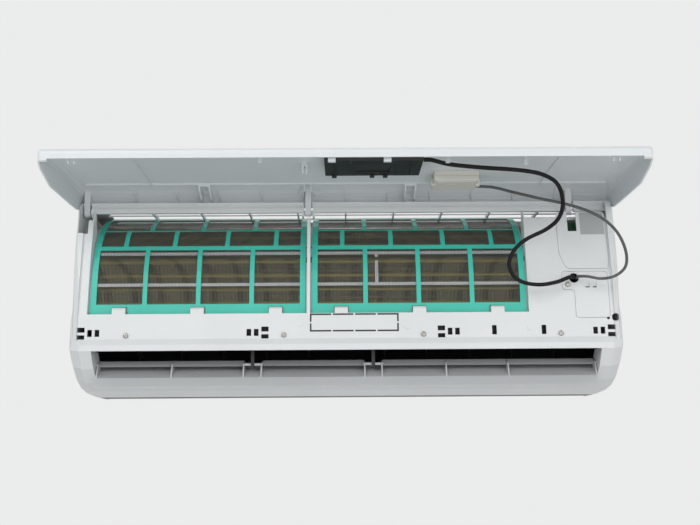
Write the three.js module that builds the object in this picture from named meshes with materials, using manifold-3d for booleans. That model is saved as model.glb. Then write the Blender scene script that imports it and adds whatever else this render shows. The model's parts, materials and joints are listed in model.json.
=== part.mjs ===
// Indoor unit of a wall-mounted split air conditioner, drawn with its front panel swung open.
// Millimetres. X runs along the unit, -Y is the front, +Z is up, and the wall is the plane Y = 0.
// The origin is the middle of the mounting plate's back face. Most forms run the length of the unit,
// so they are drawn as side profiles in (f, z), where f = -Y is the distance from the wall.
import * as THREE from "three";
import { mergeVertices } from "three/addons/utils/BufferGeometryUtils.js";
import Module from "manifold-3d";

// ---- casing ----
const UNIT_LENGTH = 835;
const UNIT_HEIGHT = 295;
const HALF = UNIT_LENGTH / 2;
const TOP_Z = UNIT_HEIGHT / 2;
const BOTTOM_Z = -UNIT_HEIGHT / 2;
const WALL = 2.5; // moulded wall
const SEAT = 0.3; // gap between two pieces that touch
const END_ROUND = 20; // radius of the casing's corners at both ends
const TOP_END_ROUND = 7; // the same near the top
const END_FACETS = 2; // facets of each of those round corners
const LIP_Z = -87; // top edge of the air outlet
const LIP_F = 192.5; // how far that edge stands from the wall
const FRONT_LEAN = 15; // how far the front leans back over LEAN_HEIGHT
const LEAN_HEIGHT = 210;
const SHOULDER_Z = 125; // where the front turns over towards the top
const TOP_FRONT_F = 163; // front edge of the top face
const BELLY_F = 158; // pull point of the curve under the outlet
const BELLY_Z = -143;
const FLOOR_F = 84; // where that curve meets the flat underside
const SIDE_STEP = 3.3; // the panel's side walls stand outside the narrower front of the casing
const FACE_INSET = 5.5; // panel seat behind the rim
const RECESS_HALF = 403;
const RECESS_BOTTOM = -69;
const BEVEL_DROP = 10; // height of the bevel below the seat
const BACK_F = 1.9; // back of the chassis, just off the mounting plate
const SEAM_F = 62; // joint between front casing and chassis on the underside

// ---- front panel and its hinge ----
const HINGE_F = 154;
const HINGE_Z = 133;
const PANEL_OPEN = 85; // degrees from closed to the position drawn
const PANEL_DEPTH = 16; // how far the closed panel stands in front of the rim
const PANEL_TIP_Z = -78;
const PANEL_ROUND = 10; // of its two ends
const PANEL_TIP_ROUND = 7;
const PANEL_TIP_BACK = 194.3; // rear edge of the narrow face at the panel's tip
const PANEL_LIP_F = 168; // rear edge of the panel's top lip
const PANEL_SHOULDER_Z = 112;
const ARM_WIDTH = 9;
const ARM_PLACES = [-404.5, -59, 349.5];
const NOTCH_SIDE = 2.4; // room on each side of an arm
const PIN_R = 3;
const PIN_CLEAR = 0.4;
const KNUCKLE_R = 6;
const LUG = 3;

const TONGUE_PLACES = [-218, 100];
const GUSSET_PITCH = 66;
const GUSSETS = 11;
const RIB_PLACES = [-300, 300];
const DISPLAY = [-30, 106, -67, 22]; // x and z limits, panel closed
const MODULE = [131, 197, 38, 88];
const FITTING_DEPTH = 15; // of what is fixed to the panel's inside
const CABLE_CLIPS = [[140, -59.5], [250, -46]];
const CLIP_DEPTH = 16.5;

// ---- filters ----
const FILTER_WIDTH = 326;
const FILTER_LEFT_X = -225;
const FILTER_RIGHT_X = 110;
const FILTER_FOOT_F = 178;
const FILTER_FOOT_Z = -30;
const FILTER_STRAIGHT_Z = 10;
const FILTER_END_F = 86;
const FILTER_END_Z = 140;
const FILTER_THICK = 2.5;
const FILTER_EDGE = 9;
const FILTER_BAR = 7;
const FILTER_FOOT_BAR = 15;
const FILTER_ROW_1 = 75; // heights of the two bars along the filter
const FILTER_ROW_2 = 110;
const FILTER_COLUMN = 81; // spacing of the tall columns
const NOTCH_PITCH = 118;
const TAB_WIDTH = 20;
const TAB_TOP = -21;
const FILTER_CLEAR = 2; // between a filter and the window round it

// ---- air path ----
const OUTLET_HALF = 380;
const OUTLET_LIP_F = 141.5; // front edge of the casing under the outlet
const FAN_F = 90;
const FAN_Z = 8;
const FAN_R = 46;
const FAN_LEFT = -372;
const FAN_RIGHT = 276;
const FAN_BLADES = 16;
const FAN_DISC = 3;
const FAN_SECTIONS = 3;
const BLADE_DEPTH = 11;
const SHAFT_R = 4;
const COIL_THICK = 23;
const COIL_LEFT = -381.7;
const COIL_RIGHT = 285.2;
const COIL_FRONT_F = 166;
const COIL_FOOT_Z = -28;
const COIL_FRONT_HEIGHT = 86;
const COIL_TOP_LENGTH = 80;
const COIL_REAR_LENGTH = 76;
const COIL_TOP_FOOT = [143, 58.3];
const COIL_TOP_LEAN = -46.4;
const COIL_REAR_FOOT = [41.7, 47.6];
const COIL_REAR_LEAN = 40.8;
const FIN_PITCH = 40; // drawn coarser than the real fins
const FIN_GROOVE = 2;
const FIN_SLOT = 3;
const PARTITION_X = 287; // wall between the fan and the motor
const END_WALL_X = -383.5;
const BEARING_R = 14;
const MOTOR_R = 38;
const MOTOR_LENGTH = 62;
const CLAMP_PLACE = 38; // along the motor
const CLAMP_WIDTH = 14;
const CHANNEL_TOP = -84; // roof of the pipe channel behind the unit
const CHASSIS_WEBS = [-200, 0, 180];

// ---- mounting plate, pipes and electrical box ----
const PLATE_HALF = 330;
const PLATE_TALL = 216;
const PLATE_THICK = 1.6;
const HOOK_PLACES = [-230, 0, 230];
const HOOK_WIDTH = 26;
const HOOK_Z = 96;
const GAS_PIPE_R = 6.35;
const LIQUID_PIPE_R = 3.18;
const PIPE_F = 27; // how far the pipes run from the wall
const PIPE_X = 316; // where the gas pipe comes down
const GAS_END = -60;
const LIQUID_END = -20;
const BOX_BACK = 137;
const BOX_FRONT = 172;

// ---- casing details ----
const RAIL_Z = 131; // underside of the bar over the filters
const RAIL = 7.5;
const FRAME_BARS = [13, 63.4]; // bars behind the filters
const FRAME_BAR = 5;
const POST_X = 44;
const POCKET_Z = 96; // slots under the end hinges
const POCKET_TALL = 27;
const SCREW_PLACES = [-330, -94, 115, 321];
const SCREW_Z = -64;
const SCREW_R = 1.9;
const SCREW_HEAD_R = 4;
const SCREW_LENGTH = 11;
const BOSS_R = 6.6;
const COVER_SCREW = [336, 11];
const BUMPS = [[-71, -46], [91, -50], [276, -54]];
const BUMP_R = 5.5;
const KNOCK_OUT = [-54, 77, -58, -33];
const KNOCK_BRIDGE = 3;
const KNOCK_SLOT = 1.6;
const CORD_HOLE = [405, -40];
const CORD_HOLE_R = 6;
const CABLE_ENTRY = [346, 21];
const CABLE_ENTRY_R = 7.6;
const COVER_THICK = 1.5;
const COVER_GAP = 0.7;
const GRILLE_HALF = 388;
const GRILLE_BACK = 28;
const GRILLE_FRONT = 138;
const GRILLE_EDGE = 3;
const GRILLE_SLATS = 4;
const GRILLE_CELLS = 10;

// ---- louver and vanes ----
const LOUVER_F = 154;
const LOUVER_Z = -104.6;
const LOUVER_HALF = 378.5;
const LOUVER_PIN_R = 2.2;
const LOUVER_GAPS = [[-157.5, -128.6], [26.1, 54.2]];
const LOUVER_RIBS = [-378.5, -266, -157.5, -130.6, 26.1, 52.2, 149.6, 243.8, 376.5];
const LOUVER_RIB = 2;
const VANES = 5;
const VANE_PITCH = 66;
const VANE_BANKS = [-192, 192];
const VANE_F = 116;
const VANE_Z = -66;
const VANE_HALF_LENGTH = 17;
const VANE_HALF_HEIGHT = 22;
const VANE_FOOT = 8.4; // pivot pin below a vane
const VANE_THICK = 1.5;
const VANE_LINK = 13; // from a vane's pivot to its link pin
const LINK_PIN_R = 1.4;

const rad = THREE.MathUtils.degToRad;
const wasm = await Module();
wasm.setup();

// ---- solids ----
function solidOf(geometry) {
  const bare = geometry.clone();
  bare.deleteAttribute("normal");
  bare.deleteAttribute("uv");
  const merged = mergeVertices(bare, 1e-3);
  return new wasm.Manifold(
    new wasm.Mesh({
      numProp: 3,
      vertProperties: merged.attributes.position.array,
      triVerts: new Uint32Array(merged.index.array),
    }),
  );
}

function geometryOf(solid) {
  const mesh = solid.getMesh();
  const geometry = new THREE.BufferGeometry();
  geometry.setAttribute("position", new THREE.BufferAttribute(mesh.vertProperties, 3));
  geometry.setIndex(new THREE.BufferAttribute(mesh.triVerts, 1));
  return geometry.toNonIndexed();
}

const join = (...solids) => solids.flat().reduce((all, next) => all.add(next));
const cut = (body, ...tools) => tools.flat().reduce((rest, tool) => rest.subtract(tool), body);
const both = (a, b) => a.intersect(b);

// Turns a profile's (f, z, along) into the unit's axes, with its length ending at x1.
function alongX(geometry, x1) {
  const turn = new THREE.Matrix4().set(0, 0, -1, x1, -1, 0, 0, 0, 0, 1, 0, 0, 0, 0, 0, 1);
  return geometry.applyMatrix4(turn);
}

function outline(points) {
  const shape = new THREE.Shape();
  points.forEach(([f, z], i) => (i ? shape.lineTo(f, z) : shape.moveTo(f, z)));
  return shape;
}

// A side profile carried along the unit from x0 to x1.
function run(profile, x0, x1) {
  const shape = Array.isArray(profile) ? outline(profile) : profile;
  const geometry = new THREE.ExtrudeGeometry(shape, {
    depth: x1 - x0,
    bevelEnabled: false,
    curveSegments: 6,
  });
  return solidOf(alongX(geometry, x1));
}

// The same with its ends rounded over, and made smaller by inset all round. roundAt gives the radius.
function roundedRun(points, half, roundAt, inset) {
  const turned = THREE.ShapeUtils.area(points) > 0 ? points : points.slice().reverse();
  const count = turned.length;
  const outward = turned.map((p, i) => {
    const before = turned[(i + count - 1) % count];
    const after = turned[(i + 1) % count];
    const a = new THREE.Vector2(p.y - before.y, before.x - p.x).normalize();
    const b = new THREE.Vector2(after.y - p.y, p.x - after.x).normalize();
    return a.clone().add(b).divideScalar(1 + a.dot(b));
  });
  const ring = (side, angle) =>
    turned.map((p, i) => {
      const radius = Math.max(roundAt(p.y) - inset, 0.2);
      const depth = inset + radius * (1 - Math.cos(angle));
      const x = half - inset - radius * (1 - Math.sin(angle));
      return [side * x, -(p.x - outward[i].x * depth), p.y - outward[i].y * depth];
    });
  const angles = steps(0, Math.PI / 2, END_FACETS);
  const rings = [...angles.slice().reverse().map((angle) => ring(-1, angle)),
    ...angles.map((angle) => ring(1, angle))];
  const place = (row, i) => row * count + (i % count);
  const faces = [];
  for (let row = 0; row < rings.length - 1; row += 1) {
    for (let i = 0; i < count; i += 1) {
      faces.push(place(row, i), place(row + 1, i), place(row + 1, i + 1));
      faces.push(place(row, i), place(row + 1, i + 1), place(row, i + 1));
    }
  }
  const last = rings.length - 1;
  const lid = THREE.ShapeUtils.triangulateShape(rings[0].map(([, y, z]) => new THREE.Vector2(-y, z)), []);
  for (const [a, b, c] of lid) faces.push(place(0, a), place(0, b), place(0, c), place(last, c),
    place(last, b), place(last, a));
  const geometry = new THREE.BufferGeometry();
  geometry.setAttribute("position", new THREE.Float32BufferAttribute(rings.flat(2), 3));
  geometry.setIndex(faces);
  return solidOf(geometry);
}

// A block given by its limits: x, distance from the wall, and height.
function block(x0, x1, f0, f1, z0, z1) {
  const geometry = new THREE.BoxGeometry(x1 - x0, f1 - f0, z1 - z0);
  geometry.translate((x0 + x1) / 2, -(f0 + f1) / 2, (z0 + z1) / 2);
  return solidOf(geometry);
}

// A rod along X, and one that faces forwards.
function rodX(f, z, r, x0, x1, sides = 16) {
  const geometry = new THREE.CylinderGeometry(r, r, x1 - x0, sides);
  geometry.rotateZ(Math.PI / 2);
  geometry.translate((x0 + x1) / 2, -f, z);
  return solidOf(geometry);
}

function rodF(x, z, r, f0, f1, sides = 16) {
  const geometry = new THREE.CylinderGeometry(r, r, f1 - f0, sides);
  geometry.translate(x, -(f0 + f1) / 2, z);
  return solidOf(geometry);
}

// A strip of the given thickness to the left of a line of points.
function ribbon(points, thickness) {
  const side = points.map(([f, z], i) => {
    const [f0, z0] = points[Math.max(i - 1, 0)];
    const [f1, z1] = points[Math.min(i + 1, points.length - 1)];
    const length = Math.hypot(f1 - f0, z1 - z0);
    return [f - ((z1 - z0) / length) * thickness, z + ((f1 - f0) / length) * thickness];
  });
  return [...points, ...side.reverse()];
}

const steps = (from, to, count) =>
  Array.from({ length: count + 1 }, (_, i) => from + ((to - from) * i) / count);

// ---- materials ----
const finish = (color, roughness, metalness = 0) =>
  new THREE.MeshStandardMaterial({ color, roughness, metalness });
const WHITE = () => finish(0xe6e9ea, 0.45);
const PANEL_WHITE = () => finish(0xdfe4e6, 0.35);
const BLACK = () => finish(0x17181a, 0.5);
const TEAL = () => finish(0x44bba8, 0.5);
const STEEL = () => finish(0xb9bcbe, 0.35, 0.9);
const COPPER = () => finish(0xb87345, 0.3, 0.95);
const BRASS = () => finish(0xc9a24e, 0.35, 0.9);
const FIN = () => finish(0x8b8668, 0.45, 0.8);
const LOUVER = () => finish(0xdfe3e3, 0.45);
const BOARD = () => finish(0x2f6b3f, 0.6);
const BEIGE = () => finish(0xe4e2d8, 0.5);
const RUBBER = () => finish(0x1d1e1f, 0.8);
const GREY = () => finish(0x5f6161, 0.6);

function piece(name, shape, material) {
  const geometry = shape.isBufferGeometry ? shape : geometryOf(shape);
  geometry.computeVertexNormals();
  const mesh = new THREE.Mesh(geometry, material);
  mesh.name = name;
  return mesh;
}

// ---- casing profile ----
// The front bows back as it rises. Every surface that follows it bends at the same heights.
const FACE_BREAKS = steps(LIP_Z, SHOULDER_Z, 4);
const bow = (z) => LIP_F - FRONT_LEAN * ((z - LIP_Z) / LEAN_HEIGHT) ** 2;

function frontF(z) {
  const above = FACE_BREAKS.findIndex((at) => at > z);
  const i = above < 0 ? FACE_BREAKS.length - 1 : Math.max(above, 1);
  const [low, high] = [FACE_BREAKS[i - 1], FACE_BREAKS[i]];
  return bow(low) + ((bow(high) - bow(low)) * (z - low)) / (high - low);
}

// The heights from z0 up to z1 at which a surface that follows the front has its points.
const faceHeights = (z0, z1) => [z0, ...FACE_BREAKS.filter((z) => z > z0 + 0.5 && z < z1 - 0.5), z1];

function casingOutline() {
  const shape = new THREE.Shape();
  const behind = -2 * END_ROUND; // the rounding runs out behind the wall plane
  shape.moveTo(behind, TOP_Z);
  shape.lineTo(TOP_FRONT_F, TOP_Z);
  shape.quadraticCurveTo(frontF(SHOULDER_Z) - 1, TOP_Z - 1, frontF(SHOULDER_Z), SHOULDER_Z);
  for (const z of FACE_BREAKS.slice(0, -1).reverse()) shape.lineTo(frontF(z), z);
  shape.quadraticCurveTo(BELLY_F, BELLY_Z, FLOOR_F, BOTTOM_Z);
  shape.lineTo(behind, BOTTOM_Z);
  return shape;
}

// A slice of the front between two depths behind the casing's front line.
function frontSheet(near, far, z0, z1, x0, x1) {
  const zs = faceHeights(z0, z1);
  const outer = zs.map((z) => [frontF(z) - near, z]);
  const inner = zs.map((z) => [frontF(z) - far, z]).reverse();
  return run([...outer, ...inner], x0, x1);
}

// Where the closed panel's side walls end, and the casing's full width with them.
const SIDE_EDGE = [[191.8, -78], [183, -66], [167, -22], [159, 75]];
const CASING_STEP = [...SIDE_EDGE.map(([f, z]) => [f - 0.6, z]), [150, 100], [137, 116], [135, 160]];

// The casing's form, and the hollow inside it when inset by the wall.
function casingForm(inset) {
  const points = casingOutline().getPoints(4);
  const roundAt = (z) => THREE.MathUtils.lerp(END_ROUND, TOP_END_ROUND, THREE.MathUtils.smoothstep(z,
    -60, 90));
  const step = CASING_STEP.map(([f, z]) => [f - inset, z]).reverse();
  const wide = run([[-60, 160], ...step, [194 - 2 * inset, LIP_Z], [215, -100], [215, -170], [-60,
    -170]], -430, 430);
  const narrow = HALF - SIDE_STEP;
  return join(
    both(roundedRun(points, HALF, roundAt, inset), wide),
    roundedRun(points, narrow, (z) => roundAt(z) - SIDE_STEP, inset),
  );
}

function frontFrame() {
  const narrow = HALF - SIDE_STEP;
  const outer = casingForm(0);
  const behindFace = join(
    frontSheet(WALL - 1, FACE_INSET + WALL, LIP_Z + 1, SHOULDER_Z - 7, -narrow + 1, narrow - 1),
    topRail(narrow),
    outletCheeks(),
  );
  let frame = join(cut(outer, casingForm(WALL)), both(behindFace, outer));
  frame = cut(frame, panelSeat(), filterWindows(), outletOpening(), backOpening(), grilleOpening());
  frame = join(frame, filterGuides(), filterTabs());
  frame = cut(join(frame, hingeLugs()), hingeNotches(), hingeBores());
  return cut(join(frame, screwBosses(), bumps()), clipSlots(), knockOut(), coverPockets(), holes());
}

// The bar over the filters, with the groove above it that the panel's lip swings past.
function topRail(narrow) {
  const groove = 3.5;
  const f = TOP_FRONT_F;
  const z = RAIL_Z;
  return run([[f, z], [f, z + RAIL], [f - groove, z + RAIL + 1], [f - groove, TOP_Z - 4],
    [f, TOP_Z - 2], [f, TOP_Z], [f - 14, TOP_Z], [f - 14, TOP_Z - WALL], [f - 6, TOP_Z - WALL],
    [f - 6, z]], -narrow + 1, narrow - 1);
}

// Walls at both ends of the outlet.
function outletCheeks() {
  const cheek = [[121, -112.5], [150, LIP_Z + 2], [LIP_F - 5, LIP_Z + 2], [LIP_F - 3, LIP_Z - 1], [178,
    -105],
    [160, -121], [OUTLET_LIP_F + 1, -131]];
  const walls = [-1, 1].map((side) => {
    const inner = side * OUTLET_HALF;
    const outerX = inner + side * WALL;
    return run(cheek, Math.min(inner, outerX), Math.max(inner, outerX));
  });
  return join(...walls);
}

function panelSeat() {
  const zs = faceHeights(RECESS_BOTTOM, SHOULDER_Z - 7);
  const floor = zs.map((z) => [frontF(z) - FACE_INSET, z]);
  const bottom = RECESS_BOTTOM - BEVEL_DROP;
  return run([...floor, [TOP_FRONT_F + 4, SHOULDER_Z + 8], [TOP_FRONT_F, RAIL_Z + RAIL],
    [TOP_FRONT_F, TOP_Z + 20], [240, TOP_Z + 20], [240, bottom], [frontF(bottom) + 0.5, bottom]],
  -RECESS_HALF, RECESS_HALF);
}

function filterSpan(x) {
  const half = FILTER_WIDTH / 2 + FILTER_CLEAR;
  return [x - half, x + half];
}

function filterWindows() {
  return [FILTER_LEFT_X, FILTER_RIGHT_X].map((x) => {
    const [x0, x1] = filterSpan(x);
    return join(
      block(x0, x1, 100, 240, FILTER_FOOT_Z - 1, RAIL_Z),
      block(x0, x1, TOP_FRONT_F + 0.01, 240, FILTER_FOOT_Z, TOP_Z + 10),
    );
  });
}

const outletOpening = () =>
  join(
    block(-OUTLET_HALF, OUTLET_HALF, OUTLET_LIP_F, 260, -220, LIP_Z),
    block(-OUTLET_HALF, OUTLET_HALF, 60, OUTLET_LIP_F + 1, -115, LIP_Z),
    rodX(LOUVER_F, LOUVER_Z, LOUVER_PIN_R + 0.5, -390, 390),
  );

// Open at the wall, and underneath as far as the chassis reaches.
const backOpening = () =>
  join(
    block(-430, 430, -60, BACK_F, -200, 200),
    block(-HALF + END_ROUND, HALF - END_ROUND, -60, SEAM_F, -200, BOTTOM_Z + 20),
  );

const grilleOpening = () =>
  join(
    block(-GRILLE_HALF, GRILLE_HALF, GRILLE_BACK, GRILLE_FRONT, TOP_Z - 10, TOP_Z + 10),
    block(-GRILLE_HALF - GRILLE_EDGE, GRILLE_HALF + GRILLE_EDGE, GRILLE_BACK - GRILLE_EDGE,
      GRILLE_FRONT + GRILLE_EDGE, TOP_Z - 1.3, TOP_Z + 10),
  );

// ---- filters and what holds them ----
// The filter's face, from its foot to its rear end.
function filterLine() {
  const bend = new THREE.CubicBezierCurve(
    new THREE.Vector2(FILTER_FOOT_F - 0.5, FILTER_STRAIGHT_Z),
    new THREE.Vector2(FILTER_FOOT_F - 3, FILTER_STRAIGHT_Z + 65),
    new THREE.Vector2(FILTER_FOOT_F - 28, FILTER_END_Z - 22),
    new THREE.Vector2(FILTER_END_F, FILTER_END_Z),
  );
  return [[FILTER_FOOT_F, FILTER_FOOT_Z], ...bend.getPoints(7).map((p) => [p.x, p.y])];
}

// How far the filter's face stands from the wall at a height.
function filterF(z) {
  const line = filterLine();
  const i = line.findIndex((point) => point[1] > z);
  const [f0, z0] = line[i - 1];
  const [f1, z1] = line[i];
  return f0 + ((f1 - f0) * (z - z0)) / (z1 - z0);
}

function filter(x) {
  const half = FILTER_WIDTH / 2;
  const sheet = run(ribbon(filterLine(), FILTER_THICK), x - half, x + half);
  const top = FILTER_ROW_1 - FILTER_BAR / 2;
  const sill = FILTER_FOOT_Z + FILTER_FOOT_BAR;
  const row2 = [FILTER_ROW_1 + FILTER_BAR / 2, FILTER_ROW_2 - FILTER_BAR / 2];
  const tall = [-2, -1, 0, 1, 2].map((i) => i * FILTER_COLUMN);
  tall[0] = -half + FILTER_EDGE - FILTER_BAR / 2;
  tall[4] = -tall[0];
  const short = [tall[0], 2 - NOTCH_PITCH, -FILTER_COLUMN / 2, FILTER_COLUMN / 2, NOTCH_PITCH - 2, tall[4]];
  const gaps = (columns, make) =>
    columns.slice(1).map((c, i) => make(x + columns[i] + FILTER_BAR / 2, x + c - FILTER_BAR / 2));
  const openings = [
    ...gaps(tall, (x0, x1) => block(x0, x1, 120, 240, sill, top)),
    ...gaps(short, (x0, x1) => block(x0, x1, 120, 240, ...row2)),
    ...gaps(tall, (x0, x1) => block(x0, x1, FILTER_END_F + FILTER_BAR, 139, 100, 160)),
  ];
  const notches = [-1, 0, 1].map((i) => {
    const side = TAB_WIDTH / 2 + 1;
    const at = x + i * NOTCH_PITCH;
    return block(at - side, at + side, 120, 240, FILTER_FOOT_Z - 5, TAB_TOP + 1.5);
  });
  return cut(sheet, openings, notches);
}

// The section of a bar that follows the filter's back.
function filterBacking(z0, z1) {
  const zs = steps(z0, z1, Math.ceil((z1 - z0) / 12));
  const front = zs.map((z) => [filterF(z) - FILTER_THICK - 0.7, z]);
  const back = front.map(([f, z]) => [f - 3.4, z]).reverse();
  return [...front, ...back];
}

// Ledges down both sides of each window, and two bars across it, behind the filter.
function filterGuides() {
  const line = filterLine().filter(([f]) => f > 125);
  const seat = line.map(([f, z]) => [f - FILTER_THICK - 1, z - 1.5]);
  const back = seat.map(([f, z]) => [f - 6, z - 3]).reverse();
  const ledge = [...seat, ...back];
  const parts = [FILTER_LEFT_X, FILTER_RIGHT_X].flatMap((x) => {
    const [x0, x1] = filterSpan(x);
    const side = [[183, FILTER_FOOT_Z - 3], ...faceHeights(-20,
      118).map((z) => [frontF(z) - FACE_INSET - 1, z]),
      [TOP_FRONT_F, RAIL_Z + 3], [TOP_FRONT_F - 5, RAIL_Z + 3], [150, 100], [162, 60], [166,
        FILTER_FOOT_Z - 3]];
    return [
      run(side, x0 - WALL + 0.5, x0),
      run(side, x1, x1 + WALL - 0.5),
      run(ledge, x0 - 0.5, x0 + 3.4),
      run(ledge, x1 - 3.4, x1 + 0.5),
      ...FRAME_BARS.map((z) => run(filterBacking(z, z + FRAME_BAR), x0 - 1, x1 + 1)),
    ];
  });
  const post = run(filterBacking(FRAME_BARS[0] + 1, FRAME_BARS[1] + 1), POST_X, POST_X + FRAME_BAR);
  return cut(join(...parts, post), coilRoom());
}

// The room that the coil, its end sheets and the drain pan take behind the filters.
const coilRoom = () =>
  run([[174, COIL_FOOT_Z - 7], [174, COIL_FOOT_Z + 10.7], [167.9, COIL_FOOT_Z + 10.7], [167.9, 59.2],
    [158.8, 59.6],
    [159.3, 76], [101, 134], [60, 110], [60, COIL_FOOT_Z - 7]], END_WALL_X, PARTITION_X + WALL + 1);

function filterTabs() {
  const parts = [FILTER_LEFT_X, FILTER_RIGHT_X].flatMap((x) =>
    [-1, 0, 1].map((i) => {
      const at = x + i * NOTCH_PITCH;
      const tab = [[frontF(-30) - 5.6, FILTER_FOOT_Z - 3], [frontF(-30) - 5.6, TAB_TOP - 3],
        [frontF(-30) - 8, TAB_TOP], [175, TAB_TOP], [175, FILTER_FOOT_Z - 3]];
      return run(tab, at - TAB_WIDTH / 2, at + TAB_WIDTH / 2);
    }),
  );
  return join(...parts);
}

// ---- hinge seats in the casing ----
const lugPlaces = () => [
  [ARM_PLACES[0] + ARM_WIDTH / 2 + NOTCH_SIDE + 1, 1],
  [ARM_PLACES[1] - ARM_WIDTH / 2 - NOTCH_SIDE, -1],
  [ARM_PLACES[1] + ARM_WIDTH / 2 + NOTCH_SIDE, 1],
  [ARM_PLACES[2] - ARM_WIDTH / 2 - NOTCH_SIDE, -1],
];

const hingeLugs = () =>
  join(...lugPlaces().map(([x, side]) =>
    block(Math.min(x, x + side * LUG), Math.max(x, x + side * LUG), HINGE_F - 8, HINGE_F + 8,
      HINGE_Z - 8, TOP_Z - 1)));

const hingeBores = () =>
  join(...lugPlaces().map(([x, side]) =>
    rodX(HINGE_F, HINGE_Z, PIN_R + PIN_CLEAR, x - (side < 0 ? LUG + 1 : 1), x + (side > 0 ? LUG + 1 : 1))));

function hingeNotches() {
  const gap = ARM_WIDTH / 2 + NOTCH_SIDE;
  const tops = ARM_PLACES.map((x) => block(x - gap, x + gap, HINGE_F - 14, 240, HINGE_Z - 12, TOP_Z + 5));
  const pockets = [0, 2].map((i) =>
    block(ARM_PLACES[i] - gap, ARM_PLACES[i] + gap, 140, 240, POCKET_Z, POCKET_Z + POCKET_TALL));
  return join(...tops, ...pockets);
}

// ---- small features of the casing's face ----
const faceAt = (z) => frontF(z) - FACE_INSET;

const screwBosses = () =>
  join(...SCREW_PLACES.map((x) => rodF(x, SCREW_Z, BOSS_R, faceAt(SCREW_Z) - 2, faceAt(SCREW_Z) + 1, 14)));

const bumps = () =>
  join(...BUMPS.map(([x, z]) => rodF(x, z, BUMP_R, faceAt(z) - 1, faceAt(z) + 1.6, 10)));

// Three slots for the panel's catches: a stacked pair, then two upright ones beside it.
function slotGroup(x, side) {
  const slot = (offset, width, z0, z1) => {
    const at = x + side * offset;
    return block(at - width / 2, at + width / 2, 170, 230, z0, z1);
  };
  return join(
    slot(0, 11, -58.5, -51),
    slot(0, 11, -69, -62.5),
    slot(13, 7, -65, -54.5),
    slot(24, 7, -65, -54.5),
  );
}

const clipSlots = () =>
  join(
    slotGroup(-397.5, 1),
    slotGroup(-122.5, -1),
    slotGroup(142, 1),
    slotGroup(397.5, -1),
    ...[221.5, 296].map((x) => block(x - 3.5, x + 3.5, 170, 230, -65, -51)),
  );

// The dashed outline of a knock-out.
function knockOut() {
  const [x0, x1, z0, z1] = KNOCK_OUT;
  const dash = (x1 - x0 - 3 * KNOCK_BRIDGE) / 4;
  const rows = [z0, z1].flatMap((z) =>
    [0, 1, 2, 3].map((i) => {
      const start = x0 + i * (dash + KNOCK_BRIDGE);
      return block(start, start + dash, 170, 230, z - KNOCK_SLOT / 2, z + KNOCK_SLOT / 2);
    }),
  );
  const middle = (z0 + z1) / 2;
  const ends = [x0, x1].flatMap((x) =>
    [[z0 - 0.5, middle - 1.5], [middle + 1.5, z1 + 0.5]].map(([low, high]) =>
      block(x - KNOCK_SLOT / 2, x + KNOCK_SLOT / 2, 170, 230, low, high)));
  return join(...rows, ...ends);
}

const holes = () =>
  join(
    rodF(CORD_HOLE[0], CORD_HOLE[1], CORD_HOLE_R, 170, 230, 12),
    rodF(394, -41, 2.5, 170, 230, 8),
    rodF(CABLE_ENTRY[0], CABLE_ENTRY[1], CABLE_ENTRY_R, 170, 230, 12),
    ...SCREW_PLACES.map((x) => rodF(x, SCREW_Z, SCREW_R + 0.5, 160, 230, 8)),
    rodF(COVER_SCREW[0], COVER_SCREW[1], SCREW_R + 0.5, 170, 230, 10),
  );

// ---- covers over the electrical box ----
// Outlines in (x, z), each with rounded corners.
function plateOutline(points, round, grow) {
  const shape = new THREE.Shape();
  const count = points.length;
  points.forEach((point, i) => {
    const p = new THREE.Vector2(...point);
    const before = new THREE.Vector2(...points[(i + count - 1) % count]).sub(p).setLength(round);
    const after = new THREE.Vector2(...points[(i + 1) % count]).sub(p).setLength(round);
    const start = p.clone().add(before);
    const end = p.clone().add(after);
    if (i) shape.lineTo(start.x, start.y);
    else shape.moveTo(start.x, start.y);
    shape.quadraticCurveTo(p.x, p.y, end.x, end.y);
  });
  shape.closePath();
  const geometry = new THREE.ExtrudeGeometry(shape, {
    depth: 90,
    bevelThickness: 1,
    bevelSize: grow,
    bevelOffset: 0,
    bevelEnabled: grow > 0,
    bevelSegments: 1,
    curveSegments: 3,
  });
  geometry.rotateX(Math.PI / 2);
  geometry.translate(0, -150, 0);
  return solidOf(geometry);
}

const BOX_COVER = [[326, 60], [336, 36], [401, 36], [401, 128], [326, 128]];
const WIRING_COVER = [[346, -40], [397, -40], [397, 31], [328, 31], [328, 3], [346, 3]];

function coverPockets() {
  const deep = (z0, z1) => frontSheet(FACE_INSET - 3, FACE_INSET + COVER_THICK + SEAT, z0, z1, 300, 410);
  return join(
    both(plateOutline(BOX_COVER, 6, COVER_GAP), deep(20, 140)),
    both(plateOutline(WIRING_COVER, 5, COVER_GAP), deep(-60, 45)),
    block(339, 395, 150, 230, 42, 122),
    block(352, 391, 150, 230, -34, 8),
  );
}

function cover(points, round, z0, z1) {
  return both(plateOutline(points, round, 0), frontSheet(FACE_INSET, FACE_INSET + COVER_THICK, z0, z1,
    300, 410));
}

function wiringCover() {
  const plain = cover(WIRING_COVER, 5, -60, 45);
  const recesses = [366, 377].map((x) => block(x - 3, x + 3, faceAt(20) - 1.1, 230, 6, 27));
  return cut(plain, recesses, rodF(...COVER_SCREW, SCREW_R + 0.5, 160, 230, 10),
    rodF(...CABLE_ENTRY, CABLE_ENTRY_R, 160, 230, 12));
}

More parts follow.
